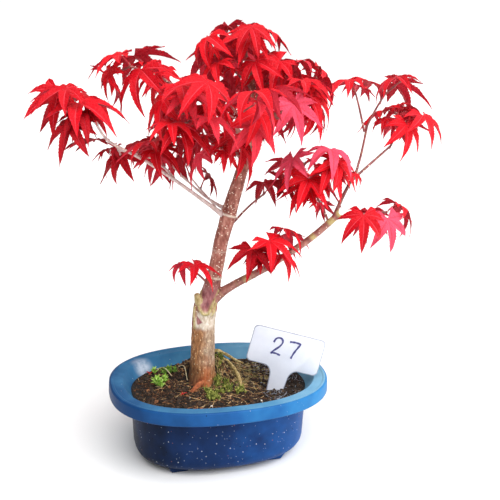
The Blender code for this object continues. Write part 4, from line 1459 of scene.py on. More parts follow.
def grow_crown():
    """Grows every mass, in order. Gives each one's twigs, leaves and young leaves."""
    solids = ["pot", "soil", "plant_label", "trunk", *LIMBS]
    obstacles = {name: search_tree(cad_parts[name]) for name in solids}
    for name in MASSES:
        obstacles[name] = tree_of([tube([(p, r + GAP) for p, r in stem_of(name)], 3)])
    for name in MASSES:
        twigs, leaves = grow(name, [tree for other, tree in obstacles.items() if other != name])
        obstacles[name] = tree_of(mass_parts(twigs, leaves))
        crown[name] = (twigs, leaves)
    return obstacles


crown = {}
grown = grow_crown()
blades = [tree_of([leaf_mesh(leaf)]) for _, leaves in crown.values() for leaf in leaves]
solid_trees = [tree for name, tree in grown.items() if name not in MASSES]
taken = solid_trees + blades
young = {name: [] if name.startswith(OPEN_SPRAYS) else young_leaves(name, taken) for name in MASSES}
worst = 0.0
for mass_name, (twigs, leaves) in crown.items():
    low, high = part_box(mass_name)
    grown_points = np.array([tuple(v) for v in gather(mass_parts(twigs, leaves))[0]])
    worst = max(worst, float(np.abs(grown_points.min(axis=0) - np.array(low)).max()))
    worst = max(worst, float(np.abs(grown_points.max(axis=0) - np.array(high)).max()))
print("leaves:", sum(len(leaves) for _, leaves in crown.values()), "young:", sum(map(len, young.values())))
print("furthest that a mass's box is from its packed solid's:", round(worst / MM, 3), "mm")

# %% [markdown]
# The leaves' finishes
#
# A maple leaf is thin and waxy above and duller below. Red cultivars owe their colour to a pigment in the
# skin, which fades to rose and orange in old leaves. The sprays that lie in the crown's shade take darker
# crimson tints, partly the pigment's own darkening and partly painted shade. A picture of veins would need
# UVs. Instead each leaf is one plain tint, dealt out by spray, and its veins are faces with a tint of their
# own, so the colours stay in place however the model is used.

# %% The leaves' finishes
LEAF_GLOSS = 0.3


def leaf_skin_finish(name, colour, roughness, fine_mm=2.2):
    """A waxy leaf's skin: a satin sheen, broken by the fine net of veins."""
    finish, tree, shader = new_finish(name, colour, roughness, ior=1.33)
    shader.inputs["Specular IOR Level"].default_value = LEAF_GLOSS
    where = place_in_mm(tree)
    net = add_node(tree, "TexVoronoi", {"Vector": where, "Scale": 1 / fine_mm}, feature="DISTANCE_TO_EDGE")
    emboss(tree, shader, between(tree, net.outputs["Distance"], 0.0, 0.3), 0.3, 0.9)
    return finish


TINTS = {
    "scarlet": "#E31222",
    "cherry": "#D50F20",
    "red": "#C60C1C",
    "crimson": "#AE0A19",
    "dark_crimson": "#8C0A15",
    "rose": "#E54C66",
    "coral": "#E83244",
}
LEAF_FINISHES = [leaf_skin_finish(f"{tint}_leaf", colour, 0.5) for tint, colour in TINTS.items()]
UNDERSIDE = leaf_skin_finish("leaf_underside", "#C4283A", 0.6)
SHADED_UNDERSIDE = leaf_skin_finish("shaded_leaf_underside", "#A5101F", 0.6)
VEIN = leaf_skin_finish("leaf_vein", "#F04A58", 0.5, 0.6)
DARK_VEIN = leaf_skin_finish("shaded_leaf_vein", "#BA2A38", 0.5, 0.6)
STALK_RED = leaf_skin_finish("leaf_stalk", "#C9404A", 0.5, 0.8)
STALK_PINK = leaf_skin_finish("pink_leaf_stalk", "#DB8A84", 0.5, 0.8)

# How often each tint comes up in each kind of spray, in the order of TINTS
# The shade spray's darker tints are partly painted shade
SPRAY_TONES = {
    "sun": (7, 5, 2, 0, 0, 0, 1),
    "bright": (7, 3, 0, 0, 0, 1, 3),
    "rosy": (4, 2, 0, 0, 0, 3, 3),
    "deep": (2, 4, 4, 2, 0, 0, 0),
    "dusky": (1, 3, 3, 0, 0, 3, 0),
    "shade": (0, 0, 2, 4, 3, 0, 0),
}
print("leaf tints:", len(LEAF_FINISHES))

# %% [markdown]
# One fine leaf's pattern
#
# The real leaf has five long lobes and two little ones at its stalk, each like a spearhead with a drawn-out
# tip and saw teeth along both edges. A leaf could be modelled once and bent by modifiers. Here its pattern
# is a flat grid, worked out once: rows run out along each lobe, and columns run across it. Lobes share
# their inner edges up to the notch between them. Bending comes later, with numpy, for each leaf by itself.

# %% One fine leaf's pattern
FINE_ANGLES = (-130, -92, -46, 0, 46, 92, 130)
FINE_LENGTHS = (0.44, 0.68, 0.96, 1.06, 0.96, 0.68, 0.44)
FINE_TEETH = (2, 5, 8, 9, 8, 5, 2)
OUTER_HALF = 16
NOTCH = 0.3
INNER_ROWS = 3
VEIN_SHARE = 0.075
COLUMNS = (-1, -VEIN_SHARE, 0, VEIN_SHARE, 1)
WIDTH_GAIN = 0.2
TIP_POWER = 1.35
TOOTH_OUT = 1.05
TOOTH_IN = 0.94
TOOTHED_SHARE = 0.9


def lobe_rows(length, teeth):
    """The rows out along a lobe, as (reach, tooth factor)."""
    rows = [(NOTCH * (row + 1) / INNER_ROWS, 1.0) for row in range(INNER_ROWS)]
    step = (length - NOTCH) * TOOTHED_SHARE / teeth
    for tooth in range(teeth):
        start = NOTCH + tooth * step
        if tooth:
            rows.append((start + 0.12 * step, TOOTH_IN))
        rows.append((start + 0.88 * step, TOOTH_OUT))
    return rows + [(length - 0.3 * (length - NOTCH - teeth * step), 1.0)]


def leaf_pattern():
    """Every point of one side of the leaf, its faces, which faces are vein, and which points are edge."""
    points = [(0, 0.0, 0.0, 1.0, 0.3)]
    faces, veins, edge = [], [], {0}
    last = len(COLUMNS) - 1
    shared = None
    for lobe, (length, teeth) in enumerate(zip(FINE_LENGTHS, FINE_TEETH)):
        before = (FINE_ANGLES[lobe] - FINE_ANGLES[lobe - 1]) / 2 if lobe else OUTER_HALF
        outermost = lobe == len(FINE_ANGLES) - 1
        after = OUTER_HALF if outermost else (FINE_ANGLES[lobe + 1] - FINE_ANGLES[lobe]) / 2
        grid = []
        for row, (reach, tooth) in enumerate(lobe_rows(length, teeth)):
            line = []
            for column, across in enumerate(COLUMNS):
                if column == 0 and shared and row < INNER_ROWS:
                    line.append(shared[row])
                    continue
                half = before if across < 0 else after
                line.append(len(points))
                points.append((lobe, reach, across, tooth, math.tan(math.radians(half))))
                if abs(across) == 1 and (row >= INNER_ROWS - 1 or (lobe == 0 and across < 0)):
                    edge.add(line[-1])
                if outermost and across == 1:
                    edge.add(line[-1])
            grid.append(line)
        tip = len(points)
        points.append((lobe, length, 0.0, 1.0, 0.3))
        edge.add(tip)
        shared = [line[last] for line in grid[:INNER_ROWS]]
        for column in range(last):
            is_vein = 1 <= column <= 2
            faces.append((0, grid[0][column], grid[0][column + 1]))
            for low, high in zip(grid, grid[1:]):
                faces.append((low[column], high[column], high[column + 1], low[column + 1]))
            faces.append((grid[-1][column], tip, grid[-1][column + 1]))
            veins += [is_vein] * (len(grid) + 1)
    return np.array(points), faces, veins, edge


PATTERN, TOP_FACES, VEIN_FACES, EDGE_POINTS = leaf_pattern()
INSIDE = np.array([i for i in range(len(PATTERN)) if i not in EDGE_POINTS])
UNDER_INDEX = np.arange(len(PATTERN))
UNDER_INDEX[INSIDE] = len(PATTERN) + np.arange(len(INSIDE))
UNDER_FACES = [tuple(int(UNDER_INDEX[i]) for i in reversed(face)) for face in TOP_FACES]
LEAF_FACES = TOP_FACES + UNDER_FACES
LEAF_POINTS = len(PATTERN) + len(INSIDE)
print("one fine leaf:", LEAF_POINTS, "points,", sum(len(face) - 2 for face in LEAF_FACES), "triangles")

# %% [markdown]
# Bending the leaf
#
# Each leaf takes the place, size and droop that the rule gave it. Past the notches each lobe also droops,
# swings and ripples by its own small amount, drawn by its mass's seed, because no two lobes hang alike. A
# Bend modifier would bend all the lobes alike.

# %% Bending the leaf
WIDEST_SHARE = 0.118
FOLD = 0.065
RIPPLE = 0.011
RIPPLE_WAVES = 13
SWAY = 0.11
DROOP_SPREAD = 0.55
FOLD_POWER = 1.2
SIDE_SHIFT = 1.7
BLADE_HALF = 0.13 * MM
RIB = 0.14 * MM


def fine_leaf(leaf, rng):
    """All the points of one leaf, in its place."""
    lobe = PATTERN[:, 0].astype(int)
    reach, across, tooth, spread = PATTERN[:, 1:].T
    length, curve = leaf["size"], math.radians(leaf["bend"])
    droop = curve * (1 + np.array([rng.uniform(-DROOP_SPREAD, DROOP_SPREAD) for _ in FINE_ANGLES]))[lobe]
    sway = np.array([rng.uniform(-SWAY, SWAY) for _ in FINE_ANGLES])[lobe]
    phase = np.array([rng.uniform(0, math.tau) for _ in FINE_ANGLES])[lobe]
    inner = np.minimum(reach, NOTCH)
    beyond = reach - inner
    share = np.clip(beyond / (np.array(FINE_LENGTHS)[lobe] - NOTCH), 0, 1)
    lean = curve * inner + droop * beyond
    out = length * (np.sin(curve * inner) / curve + (np.sin(lean) - np.sin(curve * inner)) / droop)
    fall = length * ((1 - np.cos(curve * inner)) / curve + (np.cos(curve * inner) - np.cos(lean)) / droop)
    near_width = length * np.sin(curve * inner) / curve * spread
    gain = WIDTH_GAIN * length * share * np.minimum(1, np.array(FINE_LENGTHS)[lobe])
    width = (near_width + gain) * (1 - share) ** TIP_POWER * tooth
    aside = across * width + sway * length * share**2
    fold = FOLD * length * width / (WIDEST_SHARE * length) * np.abs(across) ** FOLD_POWER
    swing = np.sin(RIPPLE_WAVES * share + phase + SIDE_SHIFT * (across > 0))
    ripple = RIPPLE * length * swing * np.abs(across) * np.minimum(1, 3 * share)
    thick = BLADE_HALF * (1 - across**4)
    rib = RIB * (across == 0)
    turn = np.radians(FINE_ANGLES)[lobe]

    def placed(lift):
        """The points, raised off the blade's middle by lift."""
        far, up = out + lift * np.sin(lean), fold + ripple - fall + lift * np.cos(lean)
        x = far * np.cos(turn) - aside * np.sin(turn)
        y = far * np.sin(turn) + aside * np.cos(turn)
        return np.stack([x, y, up], axis=1)

    points = np.concatenate([placed(thick - 0.4 * rib), placed(-thick - rib)[INSIDE]])
    return points @ np.array(leaf["frame"]).T + np.array(leaf["joint"])


sizes = [leaf["size"] for _, leaves in crown.values() for leaf in leaves]
print("leaves from", round(min(sizes) / MM), "to", round(max(sizes) / MM), "mm long")

# %% [markdown]
# The leaves
#
# All the leaves of one side of the crown are joined into one piece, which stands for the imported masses
# there. Thousands of objects would be slow to move and export, and instances would be lost.

# %% The leaves
REGIONS = {
    "foliage_left": ("leaves_left", "leaves_low_left"),
    "foliage_upper": ("leaves_upper", "leaves_crown_left", "leaves_crown_front"),
    "foliage_right": ("leaves_right", "leaves_low_right"),
    "foliage_crown": ("leaves_crown_tip", "leaves_back_top"),
    "foliage_middle": ("leaves_crown_middle", "leaves_crown_low", "leaves_crown_right"),
    "foliage_back": ("leaves_back_left", "leaves_back_right", "leaves_back_middle"),
}
TINT_COUNT = len(TINTS)
OTHER_FINISHES = [UNDERSIDE, SHADED_UNDERSIDE, VEIN, DARK_VEIN]
DARK_TINTS = ("crimson", "dark_crimson")
LEAF_SEED = 2000


def region_of(name):
    for region, starts in REGIONS.items():
        if name.startswith(starts):
            return region


def leaf_colours(tone, rng):
    """One finish number for each face of a leaf."""
    tint = rng.choices(range(TINT_COUNT), SPRAY_TONES[tone])[0]
    dark = list(TINTS)[tint] in DARK_TINTS
    under = TINT_COUNT + (1 if dark else 0)
    vein = TINT_COUNT + (3 if dark else 2)
    return [vein if is_vein else tint for is_vein in VEIN_FACES] + [under] * len(UNDER_FACES)


def make_foliage(region):
    """Every leaf of a region, as one piece."""
    names = [name for name in MASSES if region_of(name) == region]
    points, faces, finishes = [], [], []
    for name in names:
        rng = random.Random(MASSES[name].seed + LEAF_SEED)
        for leaf in crown[name][1] + young[name]:
            base = len(points) * LEAF_POINTS
            points.append(fine_leaf(leaf, rng))
            faces.extend(tuple(i + base for i in face) for face in LEAF_FACES)
            finishes += leaf_colours(MASSES[name].tone, rng)
    foliage = make_object(region, np.concatenate(points), faces, LEAF_FINISHES + OTHER_FINISHES, finishes)
    shade_round(foliage, 60)
    settle(foliage, "leaves", *names)


for region_name in REGIONS:
    make_foliage(region_name)

# %% [markdown]
# The stalks
#
# A leaf stalk is smooth, pink or red, and thicker where it clasps the twig. It bows under the blade's
# weight, so it leaves the bud steeply and levels out. Curves could draw the stalks, but tubes of a few sides
# join into one light piece.

# %% The stalks
FINE_STALK = (0.62, 0.42)
STALK_BOW = 0.07
STALK_STEPS = 8
STALK_FOOT = 1.5
STALK_HEAD = 1.3
STALK_TUCK = 0.3 * MM
FULL_SIZE = 24 * MM
PINK_TONES = ("rosy", "bright")


def fine_stalk(leaf):
    young_size = min(1.0, leaf["size"] / FULL_SIZE)
    start, end = leaf["node"], leaf["joint"]
    thick, thin = (radius * MM * (0.5 + 0.5 * young_size) for radius in FINE_STALK)
    line = curved(start, end, STALK_BOW * (end - start).length, (thick, thin), STALK_STEPS)
    line[0] = (start, thick * STALK_FOOT)
    line[-1] = (end + (end - line[-2][0]).normalized() * STALK_TUCK, thin * STALK_HEAD)
    return tube(line, 6)


def make_stalks():
    parts = []
    for name, mass in MASSES.items():
        finish = STALK_PINK if mass.tone in PINK_TONES else STALK_RED
        parts += [(fine_stalk(leaf), finish) for leaf in crown[name][1] + young[name]]
    make_piece("leaf_stalks", "leaves", parts, 60)


make_stalks()

# %% [markdown]
# The twigs
#
# The twigs go on from the limbs without a break. A remesh could weld them to the wood, but they are thinner
# than its cells, so each stem starts inside the wood instead. They swell where their paired buds sit, and
# each bud is a small dark cone.

# %% The twigs
TWIG_SIDES = 8
NODE_SWELL = 0.28
NODE_REACH = 1.6 * MM
STEM_SINK = 2.2 * MM
TWIG_STEP = 1.5 * MM
TWIG_WAIST = 0.82
BUD_RISE = 1.2
BUD_LENGTH = 3.2 * MM
BUD_RADIUS = 0.85 * MM
BUD_SHAPE = ((-0.15, 0.5), (0.1, 0.9), (0.35, 1.0), (0.65, 0.7), (0.9, 0.3), (1.0, 0.06))
BUD_SEED = 3000


def fine_twig(line, nodes, sink=0.0):
    """A twig that swells where buds sit on it."""
    points = [p for p, _ in line]
    if sink:
        points[0] = points[0] + (points[0] - points[1]).normalized() * sink
    smooth = smooth_line(points, [r for _, r in line], max(8, round(line_length(line) / TWIG_STEP)))
    swollen = []
    for point, radius in smooth:
        nearness = max([math.exp(-(((point - node).length / NODE_REACH) ** 2)) for node in nodes], default=0)
        swollen.append((point, radius * (TWIG_WAIST + NODE_SWELL * nearness)))
    return tube(swollen, TWIG_SIDES)


def bud_skin(node, way):
    """A pointed bud that leans out from its node."""
    return tube([(node + way * BUD_LENGTH * out, BUD_RADIUS * wide) for out, wide in BUD_SHAPE], TWIG_SIDES)


def make_twigs():
    parts = []
    for name, (twigs, leaves) in crown.items():
        rng = random.Random(MASSES[name].seed + BUD_SEED)
        bark = PALE_BARK if name.startswith("leaves_left") else TWIG_BARK
        nodes = [leaf["node"] for leaf in leaves + young[name]] + [twig[0][0] for twig in twigs[1:]]
        for number, twig in enumerate(twigs):
            parts.append((fine_twig(twig, nodes, 0 if number else STEM_SINK), bark))
        for leaf in leaves:
            out = (leaf["joint"] - leaf["node"]).normalized()
            way = (out + Vector((rng.uniform(-1, 1), rng.uniform(-1, 1), BUD_RISE)) * 0.5).normalized()
            parts.append((bud_skin(leaf["node"], way), TWIG_BARK))
    make_piece("twigs", "bark", parts, 60)


make_twigs()

# %% [markdown]
# Litter on the soil
#
# Dry and rotten needles, flakes and crumbs of bark and a few grains of pumice lie all over the soil. Grey
# chaff has gathered at its right, and the heap beside the trunk is matted with fibres that run down its
# slopes. A particle system could scatter them, but the export drops particles. Here each piece is a small
# skin of its own, and a ray that is cast down at each of its points finds the soil under it.

# %% Litter finishes and helpers


def dry_litter(name, dark, middle, pale, size_mm=1.5):
    """Dead plant matter: matt, fibrous and uneven in colour."""
    return mottled(name, middle, 0.85, ((0.3, dark), (0.5, middle), (0.7, pale)), size_mm, 0.2, detail=4)


NEEDLE = dry_litter("dry_golden_needles", "#8A6238", "#D2A870", "#F8E0B4")
BROWN_NEEDLE = dry_litter("rotting_brown_needles", "#3A2012", "#74482A", "#A8744A")
MOSSY_FIBRE = dry_litter("mossy_root_fibres", "#625A30", "#B2A468", "#EADDA8")
GREY_CHAFF = dry_litter("weathered_grey_chaff", "#585C66", "#8E94A0", "#C6CAD2")
BARK_BIT = dry_litter("brown_bark_bits", "#150E0A", "#2C1E14", "#5C442E")
PUMICE = dry_litter("pale_pumice", "#B9B2A2", "#DDD8CC", "#F4F1EA")
MOSS = dry_litter("damp_moss", "#26300E", "#6C7A28", "#E6E67C", 2.2)
WEED = dry_litter("fresh_weed", "#4C7A1C", "#96C440", "#E2F8A0", 2.2)
DARK_WEED = dry_litter("older_weed", "#34541A", "#6A9632", "#B6DA68", 2.0)
DRY_STALK = dry_litter("dry_weed_stalk", "#9C8A62", "#D2C49C", "#EFE6C8", 2.0)
FALLEN = dry_litter("fallen_leaf_bits", "#8A1518", "#C02024", "#DC4A3C")

GROUND = search_tree(bpy.data.objects["soil_bed"])
SCATTER_FROM = 0.03
SCATTER_TO = 0.97
SCATTER_POWER = 1.3
LUMP_SIDES = 5
LUMP_RINGS = ((-0.8, 0.55), (-0.3, 1.0), (0.35, 0.95), (0.8, 0.5))
LUMP_STRETCH = (0.6, 1.25)
LUMP_SLIP = (-0.25, 0.25)


def drop(x, y, lift=0.0):
    """The point on the soil at x, y, raised by lift."""
    hit = GROUND.ray_cast(Vector((x, y, 1)), Vector((0, 0, -1)))[0]
    return hit + Vector((0, 0, lift)) if hit else None


def scatter(rng):
    """A random place on the soil, spread evenly over its area."""
    inward = SCATTER_FROM + (SCATTER_TO - SCATTER_FROM) * rng.random() ** SCATTER_POWER
    return soil_point(rng.uniform(0, math.tau), inward)


def lump(rng, place, size, flat=1.0):
    """A rough little stone or crumb, or a flake where flat is small."""
    turn = Matrix.Rotation(rng.uniform(0, math.tau), 3, "Z") @ Matrix.Rotation(rng.uniform(-1, 1), 3, "X")
    stretch = [rng.uniform(*LUMP_STRETCH) for _ in range(3)]
    stretch[2] *= flat
    rings = []
    for level, wide in LUMP_RINGS:
        ring = []
        for side in range(LUMP_SIDES):
            angle = math.tau * (side + rng.uniform(*LUMP_SLIP)) / LUMP_SIDES
            arm = Vector((math.cos(angle) * wide, math.sin(angle) * wide, level))
            ring.append(place + turn @ (arm * Vector(stretch)) * size)
        rings.append(ring)
    return loft(rings)


print("the soil's top at the front:", [round(c / MM, 1) for c in drop(0, -30 * MM)], "mm")

# %% Litter
NEEDLE_COUNT = 1600
NEEDLE_LENGTH = (5, 16)
NEEDLE_RADIUS = (0.11, 0.28)
NEEDLE_BEND = (-0.4, 0.4)
NEEDLE_TILT = (-1.6, 1.6)
NEEDLE_LIFT = 0.3 * MM
NEEDLE_STEPS = 5
HEAP_FIBRES = 760
HEAP_MIDDLE = (20, 13)
HEAP_SPREAD = (14, 14)
HEAP_TOP = (-4 * MM, 30 * MM)
FLAKE_COUNT = 260
FLAKE_SIZE = (0.9, 2.0)
FLAKE_FLATNESS = 0.22
CRUMB_COUNT = 900
CRUMB_SIZES = (0.6, 0.9, 1.3, 1.9)
PUMICE_COUNT = 14
PUMICE_SIZE = (0.6, 1.3)
GREY_FROM = 34
GREY_WANDER = (-9, 9)
MIXED_FROM = -30 * MM
INNER_EDGE = 0.97
LITTER_SEED = 11

# The kinds of needle in each place. A kind that comes twice is drawn twice as often
MIXED_KINDS = (NEEDLE, BROWN_NEEDLE, BARK_BIT, BARK_BIT)
DARK_KINDS = (NEEDLE, BROWN_NEEDLE, BROWN_NEEDLE, *[BARK_BIT] * 6)
GREY_KINDS = (GREY_CHAFF, GREY_CHAFF, BARK_BIT, BARK_BIT)
HEAP_KINDS = (MOSSY_FIBRE, MOSSY_FIBRE, NEEDLE, BARK_BIT, BARK_BIT)
FLAKE_KINDS = (BROWN_NEEDLE, BROWN_NEEDLE, BARK_BIT, BARK_BIT)
GREY_FLAKE_KINDS = (GREY_CHAFF, BARK_BIT, BARK_BIT)


def needle(rng, spot, downhill=None):
    """A bent dry needle that lies on the soil, either way or down the heap's slope."""
    turn = rng.uniform(0, math.tau) if downhill is None else downhill + rng.uniform(-0.5, 0.5)
    bend = rng.uniform(*NEEDLE_BEND)
    half = rng.uniform(*NEEDLE_LENGTH) * MM / 2
    radius = rng.uniform(*NEEDLE_RADIUS) * MM
    shares = [2 * step / (NEEDLE_STEPS - 1) - 1 for step in range(NEEDLE_STEPS)]
    line = []
    for share in shares:
        angle = turn + bend * share
        point = drop(spot.x + math.cos(angle) * half * share, spot.y + math.sin(angle) * half * share, radius)
        if point is None:
            return None
        line.append((point, radius * (1 - 0.75 * max(0, abs(share) - 0.2))))
    tilt = rng.uniform(*NEEDLE_TILT) * MM
    lifts = [Vector((0, 0, max(0.0, tilt * share) + NEEDLE_LIFT)) for share in shares]
    return tube([(point + lift, thick) for (point, thick), lift in zip(line, lifts)], 4)


def inside_pot(skin):
    """Whether a skin stays within the pot's inner edge."""
    half_x, half_y = RIM_LENGTH / 2 - SOIL_INSET, RIM_WIDTH / 2 - SOIL_INSET
    far = max(abs(v.x / half_x) ** OVAL_POWER + abs(v.y / half_y) ** OVAL_POWER for v in skin[0])
    return far < INNER_EDGE


def make_litter():
    rng = random.Random(LITTER_SEED)
    parts = []

    def keep(skin, finish):
        if skin and inside_pot(skin):
            parts.append((skin, finish))

    for _ in range(NEEDLE_COUNT):
        spot = scatter(rng)
        kinds = MIXED_KINDS if spot.x > MIXED_FROM else DARK_KINDS
        if spot.x > (GREY_FROM + rng.uniform(*GREY_WANDER)) * MM:
            kinds = GREY_KINDS
        keep(needle(rng, spot), rng.choice(kinds))
    for _ in range(HEAP_FIBRES):
        x, y = (rng.gauss(middle, spread) * MM for middle, spread in zip(HEAP_MIDDLE, HEAP_SPREAD))
        downhill = math.atan2(y - HEAP_TOP[1], x - HEAP_TOP[0])
        keep(needle(rng, Vector((x, y, 0)), downhill), rng.choice(HEAP_KINDS))
    for _ in range(FLAKE_COUNT):
        spot = scatter(rng)
        size = rng.uniform(*FLAKE_SIZE) * MM
        kinds = GREY_FLAKE_KINDS if spot.x > GREY_FROM * MM else FLAKE_KINDS
        keep(lump(rng, drop(spot.x, spot.y, 0.6 * size), size, FLAKE_FLATNESS), rng.choice(kinds))
    for _ in range(CRUMB_COUNT):
        spot = scatter(rng)
        size = rng.choice(CRUMB_SIZES) * MM
        keep(lump(rng, drop(spot.x, spot.y, 0.3 * size), size), BARK_BIT)
    for _ in range(PUMICE_COUNT):
        spot = scatter(rng)
        size = rng.uniform(*PUMICE_SIZE) * MM
        keep(lump(rng, drop(spot.x, spot.y, 0.4 * size), size), PUMICE)
    make_piece("litter", "soil", parts, 50)


make_litter()

# %% [markdown]
# Moss and weeds
#
# Moss fills the hollows beside the surface roots. Small weeds have come up at the left, among two of last
# year's dry stalks, and two bits of fallen leaf lie there. A sprig could be one textured card. Here it is a
# tuft of pointed blades, turned round a middle, because cards look thin from the side.

# %% Moss, weeds and fallen bits
# Each patch of moss: its middle in mm, how far it spreads, and how many tufts it has
MOSS_PATCHES = (
    (-9, -14, 7, 22),
    (-10, -22, 5, 13),
    (5, -8, 7, 18),
    (13, -14, 6, 12),
    (1, 4, 6, 10),
    (3, 21, 6, 14),
)
MOSS_BLADES = 6
MOSS_LENGTH = (3, 6.5)
MOSS_WIDTH = 0.36 * MM
MOSS_RISE = 2.2
MOSS_SINK = -0.3 * MM

# Each weed: its place and size in mm, how many sprigs it has, and its finish. Its blades stand in two
# levels, each with a height in mm, a share of its size, and how steeply they rise
WEED_SPOTS = (
    (-50, 8, 9.0, 2, WEED),
    (-44, 14, 7.5, 1, WEED),
    (-47, 3, 5.5, 1, WEED),
    (-38, 29, 8.0, 2, DARK_WEED),
    (-32, 25, 6.0, 1, DARK_WEED),
    (-46, 38, 6.0, 1, WEED),
)
WEED_LEVELS = ((0.5, 1.0, 1.0), (2.5, 0.8, 2.2))
WEED_SPREAD = 2.2
WEED_BLADES = 7
WEED_WIDTH = 0.07
FALLEN_POINTS = 3
FALLEN_WIDTH = 0.12
FALLEN_RISE = 0.25
FALLEN_LIFT = 0.8 * MM

# The stalks' points as places in mm and heights above the soil, and each fallen bit's place and size
STALKS = (((-47, 40, 1), (-41, 30, 7), (-36, 20, 3)), ((-30, 33, 0.5), (-25, 24, 4), (-24, 14, 0.5)))
STALK_THICKNESS = 0.4 * MM
FALLEN_SPOTS = ((-52.4, 33.8, 5), (-32, -9, 3.6))
BLADE_WIDTHS = (0.5, 1.0, 0.8, 0.1)
BLADE_DROOP = 0.15
GROWTH_SEED = 5


def blade(root, tip, width, droop):
    """A small pointed blade, as a closed skin."""
    line = []
    for step, wide in enumerate(BLADE_WIDTHS):
        share = step / 3
        line.append((root.lerp(tip, share) + Vector((0, 0, droop * 4 * share * (1 - share))), width * wide))
    return tube(line, 4)


def tuft(rng, root, blades, length, width, rise, finish):
    """Blades all round a root, each with its finish."""
    start = rng.uniform(0, math.tau)
    parts = []
    for number in range(blades):
        turn = start + math.tau * number / blades + rng.uniform(-0.3, 0.3)
        way = Vector((math.cos(turn), math.sin(turn), rise * rng.uniform(0.6, 1.4))).normalized()
        tip = root + way * length * rng.uniform(0.7, 1.15)
        parts.append((blade(root, tip, width, BLADE_DROOP * length), finish))
    return parts


def near_spot(rng, x, y, spread, lift=0.0):
    """A place on the soil near x, y in mm, and raised by lift."""
    return drop((x + rng.gauss(0, spread)) * MM, (y + rng.gauss(0, spread)) * MM, lift)


def make_growth():
    rng = random.Random(GROWTH_SEED)
    parts = []
    for x, y, spread, count in MOSS_PATCHES:
        for _ in range(count):
            spot = near_spot(rng, x, y, spread / 2, MOSS_SINK)
            length = rng.uniform(*MOSS_LENGTH) * MM
            parts += tuft(rng, spot, MOSS_BLADES, length, MOSS_WIDTH, MOSS_RISE, MOSS)
    for x, y, size, sprigs, finish in WEED_SPOTS:
        for _ in range(sprigs):
            foot = near_spot(rng, x, y, WEED_SPREAD)
            for level, share, rise in WEED_LEVELS:
                spot = foot + Vector((0, 0, level * MM))
                width = WEED_WIDTH * size * MM
                parts += tuft(rng, spot, WEED_BLADES, size * share * MM, width, rise, finish)
    for stalk in STALKS:
        line = [drop(x * MM, y * MM, lift * MM) for x, y, lift in stalk]
        parts.append((tube(smooth_line(line, [STALK_THICKNESS] * 3, 10), 6), DRY_STALK))
    for x, y, size in FALLEN_SPOTS:
        spot = drop(x * MM, y * MM, FALLEN_LIFT)
        width = FALLEN_WIDTH * size * MM
        parts += tuft(rng, spot, FALLEN_POINTS, size * MM, width, FALLEN_RISE, FALLEN)
    make_piece("moss_and_weeds", "soil", parts, 50)


make_growth()

# %% [markdown]
# Surface roots
#
# Two thin old roots arch out of the heap behind the trunk and dive in again at its right, and a stout rusty
# one leaves the trunk's foot at the front left. They could be more limbs of the wood. They are tubes of
# their own along smooth lines, because they have another skin and knots, and all their ends are sunk.

# %% Surface roots
ROOTS = (
    (
        ((-4, 22, 74), 1.8),
        ((1, 23, 77.5), 1.6),
        ((6, 24, 76.5), 1.4),
        ((14, 24.5, 71.5), 1.3),
        ((20, 26, 66.5), 1.1),
        ((28, 27, 62), 0.7),
    ),
    (
        ((8, 21, 71), 1.0),
        ((12, 18.6, 69.2), 1.2),
        ((16.4, 14, 64), 1.3),
        ((18.2, 6.7, 60), 1.5),
        ((17.6, -3, 58), 1.2),
        ((15, -14, 56.2), 0.7),
    ),
    (((-14, 2, 60), 2.6), ((-20, -3, 58), 2.2), ((-25, -6, 55.6), 1.4)),
)
ROOT_SKIN = dry_litter("old_surface_root", "#6E5C34", "#AE965E", "#E0D09A", 2.0)
RUSTY_ROOT = dry_litter("rusty_root_bark", "#6B3A22", "#9E5430", "#C4794C", 2.0)
KNOT_SIZE = 4 * MM
KNOT_HEIGHT = 0.35


def make_roots():
    parts = []
    for number, (root, finish) in enumerate(zip(ROOTS, (ROOT_SKIN, ROOT_SKIN, RUSTY_ROOT))):
        line = smooth_line([mm(*p) for p, _ in root], [r * MM for _, r in root], 40)

        def knots(level, turn, line=line, number=number):
            spot = line[level][0] / KNOT_SIZE + Vector((math.cos(turn), math.sin(turn), number * 7))
            return KNOT_HEIGHT * line[level][1] * noise.fractal(spot, 1.0, 2.0, 3)

        parts.append((tube(line, 16, knots), finish))
    make_piece("surface_roots", "bark", parts)


make_roots()

# %% [markdown]
# The plant label
#
# The label is stamped from a sheet of white polystyrene a millimetre thick, in a T shape whose stake is
# pushed into the soil. Its cut edges have a darker grey finish, and it carries a number in violet pen. A
# text object would print the number in a font. Pen strokes are instead short ribbons along smooth lines,
# which keep a hand's uneven curves.

# %% The label's finishes


def white_sheet():
    """Polystyrene sheet: smooth and softly glossy, with a few scuffs and a little soil on it."""
    finish, tree, shader = new_finish("white_polystyrene", "#D9DCE6", 0.6, ior=1.45)
    where = place_in_mm(tree)
    clouds = grain(tree, where, 14)
    colour = ramp(tree, clouds, (0.3, "#D3D6E1"), (0.55, "#D9DCE6"), (0.75, "#DEE0E9"))
    dust = spots(tree, where, 6, 0.7, 0.25)
    colour = blend_colours(tree, dust, colour, linear("#A79B8E"))
    paint(tree, shader, colour, grain(tree, place_in_mm(tree, (1, 1, 6)), 1.2), 0.015)
    return finish


EDGE_STOPS = ((0.3, "#8E94A6"), (0.55, "#A4A9B8"), (0.75, "#B8BCC8"))
INK_STOPS = ((0.3, "#303060"), (0.6, "#464682"), (0.8, "#6C6CAC"))
SHEET = white_sheet()
CUT_EDGE = mottled("cut_polystyrene_edge", "#A4A9B8", 0.8, EDGE_STOPS, 1.5, 0.05, ior=1.45)
INK = mottled("violet_pen_ink", "#42427C", 0.6, INK_STOPS, 1.4, 0.01)
print("label finishes:", SHEET.name, CUT_EDGE.name, INK.name)

